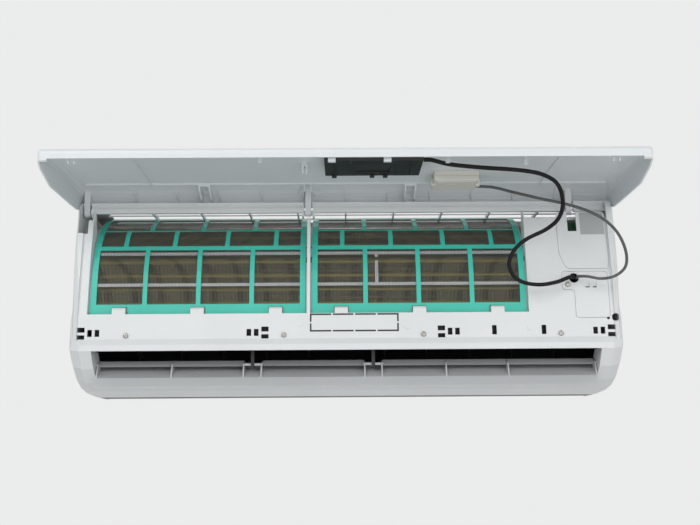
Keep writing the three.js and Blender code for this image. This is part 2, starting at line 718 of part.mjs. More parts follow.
// A screw with a pan head: shank into the casing, head on its face.
function screw(x, z, seatF) {
  const profile = [[0, 0], [SCREW_HEAD_R, 0], [SCREW_HEAD_R * 0.9, 1.4], [SCREW_HEAD_R * 0.5, 2.2], [0,
    2.4]]
    .map(([r, h]) => new THREE.Vector2(r, h));
  const head = new THREE.LatheGeometry(profile, 8);
  head.rotateX(Math.PI);
  head.translate(x, -seatF - SEAT, z);
  const slots = [0, 1].map((i) => {
    const arm = new THREE.BoxGeometry(i ? 0.9 : 4.6, 2, i ? 4.6 : 0.9);
    arm.translate(x, -seatF - SEAT - 2.6, z);
    return solidOf(arm);
  });
  const shank = rodF(x, z, SCREW_R, seatF - SCREW_LENGTH, seatF + SEAT + 0.5, 6);
  return cut(join(solidOf(head), shank), slots);
}

// ---- top grille ----
function topGrille() {
  const [x0, x1] = [-GRILLE_HALF - GRILLE_EDGE + SEAT, GRILLE_HALF + GRILLE_EDGE - SEAT];
  const [f0, f1] = [GRILLE_BACK - GRILLE_EDGE + SEAT, GRILLE_FRONT + GRILLE_EDGE - SEAT];
  const rim = cut(
    block(x0, x1, f0, f1, TOP_Z - 1, TOP_Z),
    block(-GRILLE_HALF + 3, GRILLE_HALF - 3, GRILLE_BACK + 3, GRILLE_FRONT - 3, TOP_Z - 5, TOP_Z + 5),
  );
  const slats = steps(GRILLE_BACK + 16, GRILLE_FRONT - 16, GRILLE_SLATS - 1).map((f) =>
    run([[f - 7, TOP_Z - 2], [f - 5, TOP_Z], [f + 7, TOP_Z - 4.5], [f + 6, TOP_Z - 6.5]],
      -GRILLE_HALF + 2, GRILLE_HALF - 2));
  const dividers = steps(-GRILLE_HALF, GRILLE_HALF, GRILLE_CELLS).slice(1, -1).map((x) =>
    block(x - 1, x + 1, GRILLE_BACK + 2, GRILLE_FRONT - 2, TOP_Z - 7, TOP_Z - 0.5));
  return join(rim, ...slats, ...dividers);
}

// ---- chassis ----
// The wall of the fan housing: round behind the fan, then down to the outlet.
function scrollLine() {
  const turn = steps(155, 238, 6).map((angle, i) => {
    const r = FAN_R + 4 + i * 1.2;
    return [FAN_F + r * Math.cos(rad(angle)), FAN_Z + r * Math.sin(rad(angle))];
  });
  return [...turn, [92, -84], [118, -112]];
}

const MOTOR_FACE = PARTITION_X + WALL + 7;

function rearChassis() {
  const wide = HALF - WALL - SEAT;
  const ductEnd = -END_WALL_X + WALL;
  const upper = block(PARTITION_X + WALL, ductEnd + 1, 0, 140, -41, 100);
  const scroll = cut(run(ribbon(scrollLine().reverse(), WALL), END_WALL_X - 1, ductEnd), upper);
  const sill = run([[116.5, -110.5], [118.2, -112], [131, -123], [138.5, -129.6], [138, -130.4], [128,
    -125.5],
    [114.5, -114]], END_WALL_X - 1, ductEnd);
  const ductRoof = run([[57, -42.5], [120.8, -35.4], [135.5, -48.3], [135.5, -46], [121.5, -33], [57, -40]],
    PARTITION_X, ductEnd);
  const back = cut(
    block(-wide, wide, BACK_F, BACK_F + WALL, CHANNEL_TOP, TOP_Z - 12),
    HOOK_PLACES.map((x) => block(x - HOOK_WIDTH / 2 - 3, x + HOOK_WIDTH / 2 + 3, -10, 20, HOOK_Z - 12,
      HOOK_Z + SEAT)),
  );
  const floorHalf = HALF - END_ROUND - SEAT;
  const channelRoof = cut(
    block(-wide, wide, BACK_F, 52, CHANNEL_TOP, CHANNEL_TOP + WALL),
    block(PARTITION_X + WALL + 1, PIPE_X + 12, 16, 38, CHANNEL_TOP - 1, CHANNEL_TOP + WALL + 1),
  );
  const channelFront = block(-floorHalf, floorHalf, 50, 52, BOTTOM_Z + 1, CHANNEL_TOP + 1);
  const floor = block(-floorHalf, floorHalf, 24, SEAM_F - SEAT, BOTTOM_Z, BOTTOM_Z + WALL);
  const behindFan = scrollLine().slice(0, 7).map(([f, z]) => [f - 1, z]);
  const web = [[BACK_F + 1, CHANNEL_TOP + 1], [BACK_F + 1, 60], [30, 30], ...behindFan, [84, -75], [51,
    -75],
    [51, CHANNEL_TOP + 1]];
  const webs = CHASSIS_WEBS.map((x) => run(web, x, x + WALL));
  const upperSide = [[51, CHANNEL_TOP + 1], [BACK_F + 1, CHANNEL_TOP + 1], [BACK_F + 1, 128], [60, 128],
    [96, 131],
    [155.5, 66], [165, 54], [168.5, 30], [170, -10], [170, -29]];
  const endWall = cut(
    run([...upperSide, [122, -29], [121, -34], [136, -48], [136, -126], [118, -112], [92, -84]],
      END_WALL_X - WALL, END_WALL_X),
    rodX(FAN_F, FAN_Z, BEARING_R + SEAT, END_WALL_X - 9, END_WALL_X + 9),
  );
  const partition = cut(
    run([...upperSide, [122, -29], [118, -33.5], [59, -40], [84, -75]], PARTITION_X, PARTITION_X + WALL),
    rodX(FAN_F, FAN_Z, SHAFT_R + 5, PARTITION_X - 9, PARTITION_X + 9),
    block(PARTITION_X - 9, PARTITION_X + 9, 24, 43, 34, 76),
  );
  const ductWall = run([[57, -41.5], [120.4, -34], [136, -48], [136, -126], [118, -112], [92, -84]],
    ductEnd - WALL, ductEnd);
  const foot = MOTOR_FACE + CLAMP_PLACE;
  const cradleFoot = block(foot - 3, foot + CLAMP_WIDTH + 3, BACK_F + 1, 26, FAN_Z - 60, FAN_Z - 52);
  const boxPosts = [-30, 100].map((z) => block(388, 398, BACK_F + 1, BOX_BACK - SEAT, z, z + 8));
  return join(back, channelRoof, channelFront, floor, scroll, sill, ductRoof, ...webs, endWall, partition,
    ductWall, cradleFoot, ...boxPosts);
}

// The tray under the coil, whose underside is the roof of the outlet duct.
function drainPan() {
  const floor = COIL_FOOT_Z - SEAT;
  const underside = [[173, -60], [182.5, -82], [180, -84.5], [124, -37.5], [121.5, -33.3]];
  const tray = run([[173, -18], ...underside, [124, floor - 2], [136, floor - 2], [136, -20], [138, -20],
    [138, floor], [170.5, floor], [170.5, -18]], END_WALL_X + SEAT, PARTITION_X - SEAT);
  const tail = run([[173, BOX.z0 - 0.5], ...underside.slice(0, 3), [138, -49.3], [136.5, BOX.z0 - 0.5]],
    PARTITION_X - 1, -END_WALL_X - SEAT);
  const brackets = LOUVER_GAPS.map(([x0, x1]) => {
    const x = (x0 + x1) / 2;
    const arm = [[150, -52], [162, -60], [LOUVER_F + 5, LOUVER_Z + 2], [LOUVER_F + 3, LOUVER_Z - 5],
      [LOUVER_F - 3, LOUVER_Z - 5], [LOUVER_F - 5, LOUVER_Z + 2]];
    return cut(run(arm, x - 2.5, x + 2.5), rodX(LOUVER_F, LOUVER_Z, LOUVER_PIN_R + 0.5, x - 9, x + 9));
  });
  return join(tray, tail, ...brackets);
}

// ---- evaporator coil ----
// A block of fins seen edge on: a comb-shaped outline, grooves outwards, carried up its height.
function finBlock(height) {
  const shape = new THREE.Shape();
  const length = COIL_RIGHT - COIL_LEFT;
  const count = Math.round(length / FIN_PITCH);
  const face = -COIL_THICK;
  shape.moveTo(0, 0);
  shape.lineTo(length, 0);
  shape.lineTo(length, face);
  for (let i = count - 1; i > 0; i -= 1) {
    const x = (i * length) / count;
    shape.lineTo(x + FIN_SLOT / 2, face);
    shape.lineTo(x + FIN_SLOT / 2, face + FIN_GROOVE);
    shape.lineTo(x - FIN_SLOT / 2, face + FIN_GROOVE);
    shape.lineTo(x - FIN_SLOT / 2, face);
  }
  shape.lineTo(0, face);
  const geometry = new THREE.ExtrudeGeometry(shape, { depth: height, bevelEnabled: false });
  return geometry.translate(COIL_LEFT, 0, 0);
}

// Each slab stands on the inner corner of its foot and leans by a turn about X.
function coilSlab(name, [f, z], lean, height, turned) {
  const mesh = piece(name, solidOf(finBlock(height)), FIN());
  mesh.position.set(turned ? COIL_LEFT + COIL_RIGHT : 0, -f, z);
  mesh.rotation.set(rad(lean), 0, turned ? Math.PI : 0);
  return mesh;
}

const coilSlabs = () => [
  coilSlab("coil_front", [COIL_FRONT_F - COIL_THICK, COIL_FOOT_Z], 0, COIL_FRONT_HEIGHT, false),
  coilSlab("coil_top", COIL_TOP_FOOT, COIL_TOP_LEAN, COIL_TOP_LENGTH, false),
  coilSlab("coil_rear", COIL_REAR_FOOT, COIL_REAR_LEAN, COIL_REAR_LENGTH, true),
];

// The sheet at each end of the coil.
const coilEnd = (x0, x1) =>
  run([[167, COIL_FOOT_Z], [167, 58.5], [157.5, 60], [158, 74], [101, 130.5], [72, 121.5], [22, 62],
    [41, 45],
    [90, 101], [139, 54], [139, COIL_FOOT_Z]], x0, x1);

// ---- fan ----
function crossFlowFan() {
  const inner = FAN_R - BLADE_DEPTH;
  const blade = (angle) => {
    const at = (r, turn) => [FAN_F + r * Math.cos(angle + turn), FAN_Z + r * Math.sin(angle + turn)];
    const outer = FAN_R - 0.4;
    const middle = FAN_R - BLADE_DEPTH * 0.55;
    return run([at(inner, 0), at(middle, 0.1), at(outer, 0.33), at(middle, 0.15)], FAN_LEFT + 1,
      FAN_RIGHT - 1);
  };
  const blades = Array.from({ length: FAN_BLADES }, (_, i) => blade((i * 2 * Math.PI) / FAN_BLADES));
  const discs = steps(FAN_LEFT, FAN_RIGHT - FAN_DISC, FAN_SECTIONS).map((x) =>
    rodX(FAN_F, FAN_Z, FAN_R, x, x + FAN_DISC, 24));
  const hub = rodX(FAN_F, FAN_Z, SHAFT_R + 7, FAN_RIGHT - 1, FAN_RIGHT + 8, 20);
  const stub = rodX(FAN_F, FAN_Z, SHAFT_R, END_WALL_X - 1, FAN_LEFT + 1, 14);
  const shaft = rodX(FAN_F, FAN_Z, SHAFT_R, FAN_RIGHT + 7, MOTOR_FACE + 10, 14);
  return join(discs, blades, hub, stub, shaft);
}

function fanMotor() {
  const profile = [[0, 0], [14, 0], [15, 3], [MOTOR_R - 6, 3], [MOTOR_R, 8], [MOTOR_R, 26],
    [MOTOR_R + 2, 26],
    [MOTOR_R + 2, 30], [MOTOR_R, 30], [MOTOR_R, MOTOR_LENGTH - 6], [MOTOR_R - 6, MOTOR_LENGTH], [14,
      MOTOR_LENGTH],
    [13, MOTOR_LENGTH + 4], [0, MOTOR_LENGTH + 4]].map(([r, h]) => new THREE.Vector2(r, h));
  const can = new THREE.LatheGeometry(profile, 18);
  can.rotateZ(-Math.PI / 2);
  can.translate(MOTOR_FACE, -FAN_F, FAN_Z);
  return cut(solidOf(can), rodX(FAN_F, FAN_Z, SHAFT_R + SEAT, MOTOR_FACE - 1, MOTOR_FACE + 10 + SEAT, 14));
}

// A strap behind the motor, carried on the chassis foot.
function motorClamp() {
  const r = MOTOR_R + SEAT;
  const x = MOTOR_FACE + CLAMP_PLACE;
  const ring = steps(232, 128, 8).map((angle) => [FAN_F + r * Math.cos(rad(angle)),
    FAN_Z + r * Math.sin(rad(angle))]);
  const saddle = run(ribbon(ring, 2), x, x + CLAMP_WIDTH);
  const post = run([[12, FAN_Z - 51.7], [24, FAN_Z - 51.7], [FAN_F - 37, FAN_Z - 14], [FAN_F - 39,
    FAN_Z - 6]],
    x, x + CLAMP_WIDTH);
  return join(saddle, post);
}

function fanBearing() {
  const body = rodX(FAN_F, FAN_Z, BEARING_R, END_WALL_X - WALL - 4, END_WALL_X + 3, 18);
  return cut(body, rodX(FAN_F, FAN_Z, SHAFT_R + SEAT, END_WALL_X - 2, END_WALL_X + 9, 16));
}

// ---- electrical box ----
const BOX = { x0: 297, x1: 404, z0: -46, z1: 122 };

function electricalBox() {
  const shell = cut(
    block(BOX.x0, BOX.x1, BOX_BACK, BOX_FRONT, BOX.z0, BOX.z1),
    block(BOX.x0 + 2, BOX.x1 - 2, BOX_BACK + 2, BOX_FRONT + 9, BOX.z0 + 2, BOX.z1 - 2),
    block(BOX.x0 - 9, BOX.x1 + 9, 150, 250, 96, 200),
  );
  const shelf = block(BOX.x0 + 1, BOX.x1 - 1, BOX_BACK + 1, BOX_FRONT - 8, -8, -6);
  const studs = [[307, 6], [394, 6], [307, 110], [394, 110]].map(([x, z]) =>
    rodF(x, z, 3, BOX_BACK + 1, BOX_BACK + 8 - SEAT, 10));
  return join(shell, shelf, studs);
}

function controlBoard() {
  const f = BOX_BACK + 8;
  const board = block(302, 399, f, f + 1.6, 0, 117);
  const parts = [
    block(312, 330, f + 1, f + 12, 100, 116),
    block(364, 392, f + 1, f + 20, 62, 90),
    block(310, 340, f + 1, f + 10, 52, 74),
    rodF(352, 44, 9, f + 1, f + 22),
    rodF(382, 44, 6, f + 1, f + 16),
    block(312, 340, f + 1, f + 7, 14, 24),
    block(352, 392, f + 1, f + 8, 10, 18),
  ];
  return join(board, parts);
}

function terminalBlock() {
  const f = BOX_BACK + 2 + SEAT;
  const base = block(312, 392, f, f + 10, -38, -16);
  const walls = steps(312, 390, 4).map((x) => block(x, x + 2, f + 9, f + 16, -38, -16));
  const screws = steps(322, 381, 3).map((x) => rodF(x + 1, -27, 3.4, f + 9, f + 12.5, 8));
  return join(base, walls, screws);
}

// ---- refrigerant pipes ----
function tube(points, r, count, sides) {
  const path = new THREE.CatmullRomCurve3(points.map(([x, f, z]) => new THREE.Vector3(x, -f, z)), false,
    "centripetal");
  const section = new THREE.Shape();
  steps(0, 2 * Math.PI, sides).slice(0, -1).forEach((angle, i) =>
    i ? section.lineTo(r * Math.cos(angle), r * Math.sin(angle)) : section.moveTo(r, 0));
  const geometry = new THREE.ExtrudeGeometry(section, {
    steps: count,
    bevelEnabled: false,
    extrudePath: path,
  });
  return solidOf(geometry);
}

// Out of the coil's end, down beside the partition and back along the channel behind the unit.
const pipeRoute = (x, z, startZ, end) => [
  [COIL_RIGHT + 2 * SEAT + 1.2, PIPE_F + 8, startZ],
  [COIL_RIGHT + 8, PIPE_F + 8, startZ],
  [x - 2, PIPE_F + 5, startZ - 8],
  [x, PIPE_F, startZ - 30],
  [x, PIPE_F, 0],
  [x, PIPE_F, z + 36],
  [x - 10, PIPE_F, z + 8],
  [x - 36, PIPE_F, z],
  [140, PIPE_F, z],
  [end + 80, PIPE_F, z],
  [end, PIPE_F, z],
];

function flareNut(x, z, r) {
  const nut = rodX(PIPE_F, z, r * 1.7, x - 20, x, 6);
  const mouth = rodX(PIPE_F, z, r * 1.1, x - 24, x - 8, 12);
  return cut(nut, mouth, rodX(PIPE_F, z, r + SEAT, x - 9, x + 1, 12));
}

// ---- mounting plate ----
function mountingPlate() {
  const round = 12;
  const low = -PLATE_TALL / 2;
  const high = PLATE_TALL / 2;
  const sheet = new THREE.Shape();
  sheet.moveTo(-PLATE_HALF + round, low);
  sheet.lineTo(PLATE_HALF - round, low);
  sheet.quadraticCurveTo(PLATE_HALF, low, PLATE_HALF, low + round);
  sheet.lineTo(PLATE_HALF, high - round);
  sheet.quadraticCurveTo(PLATE_HALF, high, PLATE_HALF - round, high);
  sheet.lineTo(-PLATE_HALF + round, high);
  sheet.quadraticCurveTo(-PLATE_HALF, high, -PLATE_HALF, high - round);
  sheet.lineTo(-PLATE_HALF, low + round);
  sheet.quadraticCurveTo(-PLATE_HALF, low, -PLATE_HALF + round, low);
  for (const x of steps(-PLATE_HALF + 40, PLATE_HALF - 40, 4)) {
    for (const z of [low + 18, high - 40]) {
      const hole = new THREE.Path();
      hole.absarc(x, z, 3.2, 0, 2 * Math.PI, true);
      sheet.holes.push(hole);
    }
  }
  const geometry = new THREE.ExtrudeGeometry(sheet, { depth: PLATE_THICK, bevelEnabled: false,
    curveSegments: 3 });
  geometry.rotateX(Math.PI / 2);
  const hooks = HOOK_PLACES.flatMap((x) => [
    block(x - HOOK_WIDTH / 2, x + HOOK_WIDTH / 2, PLATE_THICK - 0.5, 9, HOOK_Z - 2, HOOK_Z),
    block(x - HOOK_WIDTH / 2, x + HOOK_WIDTH / 2, 7.5, 9, HOOK_Z - 2, HOOK_Z + 8),
  ]);
  return join(solidOf(geometry), hooks);
}

// ---- front panel, drawn closed and turned open about its hinge ----
function panelOutline() {
  const shape = new THREE.Shape();
  const face = (z) => frontF(z) + PANEL_DEPTH;
  shape.moveTo(60, PANEL_TIP_Z);
  const start = PANEL_TIP_Z + PANEL_TIP_ROUND;
  shape.lineTo(face(PANEL_TIP_Z) - PANEL_TIP_ROUND, PANEL_TIP_Z);
  shape.quadraticCurveTo(face(PANEL_TIP_Z), PANEL_TIP_Z, face(PANEL_TIP_Z), start);
  for (const z of faceHeights(start, PANEL_SHOULDER_Z).slice(1)) shape.lineTo(face(z), z);
  shape.quadraticCurveTo(face(PANEL_SHOULDER_Z) - 5, TOP_Z - 1, PANEL_LIP_F + 4, TOP_Z);
  shape.lineTo(60, TOP_Z);
  return shape;
}

function frontPanel() {
  const points = panelOutline().getPoints(4);
  const roundAt = (z) => PANEL_ROUND - (PANEL_ROUND - PANEL_TIP_ROUND / 2)
    * (1 - THREE.MathUtils.smoothstep(z, PANEL_TIP_Z, PANEL_TIP_Z + 40));
  const skin = cut(roundedRun(points, HALF, roundAt, 0), roundedRun(points, HALF, roundAt, WALL));
  const midWall = roundedRun(points, HALF, roundAt, WALL / 2);
  const keep = run([...SIDE_EDGE, [157, 112], [160, 126], [166, TOP_Z + 10], [300, TOP_Z + 10], [300, -120],
    [191.8, -120]], -430, 430);
  const behindLip = block(-430, 430, 0, PANEL_LIP_F, HINGE_Z, TOP_Z + 9);
  const overLip = block(-HALF + WALL + 0.5, HALF - WALL - 0.5, 0, 300, -200, 200);
  const underTip = block(-RECESS_HALF - 1.5, RECESS_HALF + 1.5, 0, PANEL_TIP_BACK, PANEL_TIP_Z - 5,
    PANEL_TIP_Z + 3);
  // Room for the casing's upper corners, which stand into the lip's two ends when the panel is closed.
  const corners = [-1, 1].map((side) =>
    block(Math.min(side * 402.5, side * 414.7), Math.max(side * 402.5, side * 414.7), 160, 171.8, 138.6,
      146.5));
  const shell = cut(both(skin, keep), both(behindLip, overLip), underTip, corners);
  // Ribs and arms end inside the skin, so none of them shows on the outside. The arms reach back to the pins.
  const fittings = both(join(panelRibs(), panelTongues(), panelClips()), midWall);
  const hingeSide = block(-430, 430, 0, 176, 100, TOP_Z - 1);
  return join(shell, both(panelArms(), join(midWall, hingeSide)), fittings);
}

function panelArms() {
  const arm = [[HINGE_F + 1, HINGE_Z - KNUCKLE_R], [HINGE_F + 34, HINGE_Z - KNUCKLE_R],
    [frontF(100) + 14.5, 112],
    [PANEL_LIP_F + 18, TOP_Z - 4], [PANEL_LIP_F + 3, TOP_Z - 1.5], [HINGE_F + 4, HINGE_Z + KNUCKLE_R - 1.5],
    [HINGE_F, HINGE_Z + KNUCKLE_R - 1]];
  const bodies = ARM_PLACES.flatMap((x) => [
    run(arm, x - ARM_WIDTH / 2, x + ARM_WIDTH / 2),
    rodX(HINGE_F, HINGE_Z, KNUCKLE_R, x - ARM_WIDTH / 2, x + ARM_WIDTH / 2, 20),
  ]);
  const pins = lugPlaces().map(([x, side]) => {
    const reach = x + side * (LUG - 0.5);
    const root = x - side * (NOTCH_SIDE + 3);
    return rodX(HINGE_F, HINGE_Z, PIN_R, Math.min(root, reach), Math.max(root, reach));
  });
  return join(bodies, pins);
}

const skinF = (z) => frontF(z) + PANEL_DEPTH - WALL + 0.5;

// Gussets between the top lip and the skin, and long ribs down the skin.
function panelRibs() {
  const gusset = [[skinF(120), 118], [skinF(120) - 8, 128], [PANEL_LIP_F + 5, TOP_Z - 2],
    [skinF(120) - 3, TOP_Z - 6]];
  const reach = (GUSSET_PITCH * (GUSSETS - 1)) / 2;
  const gussets = steps(-reach, reach, GUSSETS - 1).map((x) => run(gusset, x - 0.8, x + 0.8));
  const long = frontSheet(-PANEL_DEPTH + WALL + 2.5, -PANEL_DEPTH + WALL - 0.5, -66, 112, 0, 1.2);
  const ribs = RIB_PLACES.map((x) => long.translate([x, 0, 0]));
  const across = [-60, 96].map((z) => block(-400, 400, skinF(z) - 3, skinF(z), z, z + 1.2));
  const fitting = block(DISPLAY[0] - 1, DISPLAY[1] + 1, 0, skinF(-60) - 0.5, DISPLAY[2] - 1,
    DISPLAY[3] + 1);
  return join(gussets, ribs, cut(join(across), fitting));
}

// U-shaped guides that hang from the lip, and a pair of stiff posts beside the middle arm.
function panelTongues() {
  return join(TONGUE_PLACES.map((x) => {
    const body = run([[skinF(112), 96], [skinF(112), 128], [PANEL_LIP_F + 8, TOP_Z - 2],
      [PANEL_LIP_F + 3, TOP_Z - 6],
      [PANEL_LIP_F + 8, 122], [skinF(112) - 10, 104]], x - 9, x + 9);
    return cut(body, run([[skinF(112) - 3, 90], [skinF(112) - 3, 140], [100, 140], [100, 90]], x - 6.5,
      x + 6.5));
  }));
}

// Small hooks near the tip, tabs in front of the cable, and by the middle arm a slotted tab
// and two splayed legs.
function panelClips() {
  const tab = (x, z, width) => block(x - width / 2, x + width / 2, skinF(z) - CLIP_DEPTH, skinF(z), z,
    z + 1.6);
  const hook = (x, z, width) => join(tab(x, z, width),
    block(x - width / 2, x + width / 2, skinF(z) - CLIP_DEPTH, skinF(z) - CLIP_DEPTH + 1.4, z, z + 5));
  const pairs = [-374, 370].flatMap((x) => [hook(x - 4, -68, 3), hook(x + 4, -68, 3)]);
  const middle = ARM_PLACES[1];
  const wide = block(middle - 4.5, middle + 4.5, skinF(0) - CLIP_DEPTH, skinF(0), -4, 8);
  const slotted = cut(wide, block(middle - 1.2, middle + 1.2, skinF(0) - CLIP_DEPTH - 1, skinF(0) - 6,
    -6, 10));
  const legs = [-1, 1].map((side) =>
    block(-0.8, 0.8, -12, 0.5, -15, 15).rotate([0, side * 20, 0])
      .translate([middle + side * 10, -skinF(112), 112]));
  return join(pairs, hook(-118, -64, 6), CABLE_CLIPS.map(([x, z]) => tab(x, z, 6)), slotted, legs);
}

// A profile that follows the panel's skin at its two heights and stands depth into the casing's side.
function skinBox(z0, z1, depth, corner) {
  const back = (z) => skinF(z) - 0.5 - SEAT;
  return [[back(z0), z0], [back(z1), z1], [back(z1) - depth + corner, z1], [back(z1) - depth, z1 - corner],
    [back(z0) - depth, z0 + corner], [back(z0) - depth + corner, z0]];
}

function displayHousing() {
  const [x0, x1, z0, z1] = DISPLAY;
  const face = skinF(z1) - FITTING_DEPTH;
  const body = run(skinBox(z0, z1, FITTING_DEPTH - 2, 4), x0, x1);
  const ribs = steps(x0 + 14, x1 - 14, 5).map((x) => run(skinBox(z0 + 8, z1 - 8, FITTING_DEPTH, 3),
    x - 1, x + 1));
  const pocket = block(x0 + 44, x1 - 44, face - 5, face + 4, z0 + 20, z1 - 18);
  return cut(join(body, ribs), pocket);
}

function moduleBox() {
  const [x0, x1, z0, z1] = MODULE;
  const body = run(skinBox(z0, z1, FITTING_DEPTH, 2), x0, x1);
  const groove = block(x0 - 1, x1 + 1, skinF(z0) - 9, skinF(z0) - 8, z0 - 1, z0 + 1);
  const face = skinF(z0) - FITTING_DEPTH;
  const socket = block(x0 + 20, x0 + 34, face - 5, face + 3, z0 + 8, z0 + 20);
  return cut(body, groove, socket);
}

// ---- louver ----
// Seen from the side: the crease and the rounded outer skin of the main blade, and the small blade above.
function louver() {
  const back = [[126.8, -103], [148, -115.6], [165, -125], [174.6, -138.2]];
  const under = [[175.4, -139.7], [163.5, -134.5], [148, -125.5], [134, -111.5], [126, -104.4]];
  const blade = run([...back, ...under], -LOUVER_HALF, LOUVER_HALF);
  const spans = [[-LOUVER_HALF, LOUVER_GAPS[0][0]], [LOUVER_GAPS[0][1], LOUVER_GAPS[1][0]],
    [LOUVER_GAPS[1][1], LOUVER_HALF]];
  const small = [[154, -107.4], [152.6, -107], [142, -98.9], [143.2, -97.7]];
  const blades = spans.map(([x0, x1]) => run(small, x0, x1));
  const rib = [[142.9, -98.6], [150, -101.2], [156, -103], [158.5, -107], [165.4, -126.5], [150, -118.5],
    [144, -115]];
  const ribs = LOUVER_RIBS.map((x) => run(rib, x, x + LOUVER_RIB));
  const pins = LOUVER_GAPS.map(([x0, x1]) => rodX(LOUVER_F, LOUVER_Z, LOUVER_PIN_R, x0 - 1, x1 + 1));
  const ends = [-1, 1].map((side) => {
    const near = side * (LOUVER_HALF - 1);
    const far = side * (OUTLET_HALF + WALL + 3);
    return rodX(LOUVER_F, LOUVER_Z, LOUVER_PIN_R, Math.min(near, far), Math.max(near, far));
  });
  return join(blade, blades, ribs, pins, ends);
}

function louverMotor() {
  const x = OUTLET_HALF + WALL + SEAT;
  const body = rodX(LOUVER_F, LOUVER_Z, 12.4, x, x + 19, 16);
  const ears = block(x, x + 1.5, LOUVER_F - 17, LOUVER_F + 17, LOUVER_Z - 4, LOUVER_Z + 4);
  return cut(join(body, ears), rodX(LOUVER_F, LOUVER_Z, LOUVER_PIN_R + 0.5, x - 2, x + 4, 16));
}

// ---- vertical vanes ----
// Drawn round their pivot, with the air flowing along +u and the pivot along v; both lie in the side view.
const VANE_TURN = Math.atan2(88, 82);

function vane() {
  const plate = new THREE.BoxGeometry(VANE_THICK, 2 * VANE_HALF_LENGTH, 2 * VANE_HALF_HEIGHT);
  const pivot = new THREE.CylinderGeometry(2, 2, VANE_FOOT, 6);
  pivot.rotateX(Math.PI / 2);
  pivot.translate(0, 0, -VANE_HALF_HEIGHT + 1 - VANE_FOOT / 2);
  const link = new THREE.CylinderGeometry(LINK_PIN_R, LINK_PIN_R, 4, 6);
  link.rotateX(Math.PI / 2);
  link.translate(0, VANE_LINK, -VANE_HALF_HEIGHT + 1 - 2);
  return join(solidOf(plate), solidOf(pivot), solidOf(link));
}

function linkBar() {
  const length = (VANES - 1) * VANE_PITCH + 16;
  const bar = new THREE.BoxGeometry(length, 10, 1.5);
  const slots = steps(-(length / 2) + 8, length / 2 - 8, VANES - 1).map((x) => {
    const slot = new THREE.BoxGeometry(2 * LINK_PIN_R + 1.4, 7, 5);
    return solidOf(slot.translate(x, -0.8, 0));
  });
  return cut(solidOf(bar), slots);
}

// ---- cables between the casing and the panel, chosen by hand from end to end: [x, f, z] ----
const DISPLAY_CABLE_R = 3;
const MODULE_CABLE_R = 2.2;
const DISPLAY_CABLE = [
  [106.6, 350, 156],
  [112, 350, 156],
  [118, 349.6, 155.6],
  [140, 343, 152],
  [182, 337, 149],
  [246, 330, 146],
  [274, 322, 143],
  [296, 310, 135],
  [306, 298, 123],
  [310, 284, 105],
  [305, 272, 90],
  [291, 260, 79],
  [262, 247, 66],
  [247, 238, 53],
  [240, 230, 35],
  [245, 224, 20],
  [258, 218, 10],
  [286, 210, 6],
  [315, 204, 11],
  [335, 200, 19],
  [342.4, 192, 21],
  [342.4, 180, 21],
];
const MODULE_CABLE = [
  [197.3, 218, 156],
  [206, 219, 155.5],
  [223, 222, 153],
  [250, 228, 144],
  [291, 236, 131],
  [325, 243, 121],
  [358, 248, 108],
  [383, 247, 93],
  [402, 241, 73],
  [414, 230, 46],
  [413, 222, 29],
  [400, 214, 18],
  [380, 208, 15],
  [362, 204, 19],
  [350.2, 194, 21],
  [350.2, 180, 21],
];

// ---- assembly ----
const unit = new THREE.Group();
unit.add(
  piece("mounting_plate", mountingPlate(), STEEL()),
  piece("rear_chassis", rearChassis(), BLACK()),
  piece("front_frame", frontFrame(), WHITE()),
  piece("top_grille", topGrille(), WHITE()),
  piece("drain_pan", drainPan(), BLACK()),
  ...coilSlabs(),
  piece("coil_end_left", coilEnd(COIL_LEFT - SEAT - 1.2, COIL_LEFT - SEAT), STEEL()),
  piece("coil_end_right", coilEnd(COIL_RIGHT + SEAT, COIL_RIGHT + SEAT + 1.2), STEEL()),
  piece("gas_pipe", tube(pipeRoute(PIPE_X, -126, 62, GAS_END), GAS_PIPE_R, 20, 8), COPPER()),
  piece("liquid_pipe", tube(pipeRoute(PIPE_X - 14, -104, 51, LIQUID_END), LIQUID_PIPE_R, 20, 8), COPPER()),
  piece("gas_flare_nut", flareNut(GAS_END + 8, -126, GAS_PIPE_R), BRASS()),
  piece("liquid_flare_nut", flareNut(LIQUID_END + 8, -104, LIQUID_PIPE_R), BRASS()),
  piece("fan_motor", fanMotor(), STEEL()),
  piece("motor_clamp", motorClamp(), BLACK()),
  piece("fan_bearing", fanBearing(), RUBBER()),
  piece("electrical_box", electricalBox(), WHITE()),
  piece("control_board", controlBoard(), BOARD()),
  piece("terminal_block", terminalBlock(), BLACK()),
  piece("electrical_box_cover", cut(cover(BOX_COVER, 6, 20, 140), hingeNotches()), WHITE()),
  piece("wiring_cover", wiringCover(), WHITE()),
  piece("wiring_cover_screw", screw(...COVER_SCREW, faceAt(COVER_SCREW[1] - SCREW_HEAD_R)), STEEL()),
  piece("louver_motor", louverMotor(), WHITE()),
  piece("filter_left", filter(FILTER_LEFT_X), TEAL()),
  piece("filter_right", filter(FILTER_RIGHT_X), TEAL()),
  piece("horizontal_louver", louver(), LOUVER()),
  piece("cross_flow_fan", crossFlowFan(), BLACK()),
  piece("display_cable", tube(DISPLAY_CABLE, DISPLAY_CABLE_R, 38, 8), BLACK()),
  piece("module_cable", tube(MODULE_CABLE, MODULE_CABLE_R, 40, 8), GREY()),
);
SCREW_PLACES.forEach((x, i) =>
  unit.add(piece(`frame_screw_${i + 1}`, screw(x, SCREW_Z, faceAt(SCREW_Z) + 1), STEEL())));

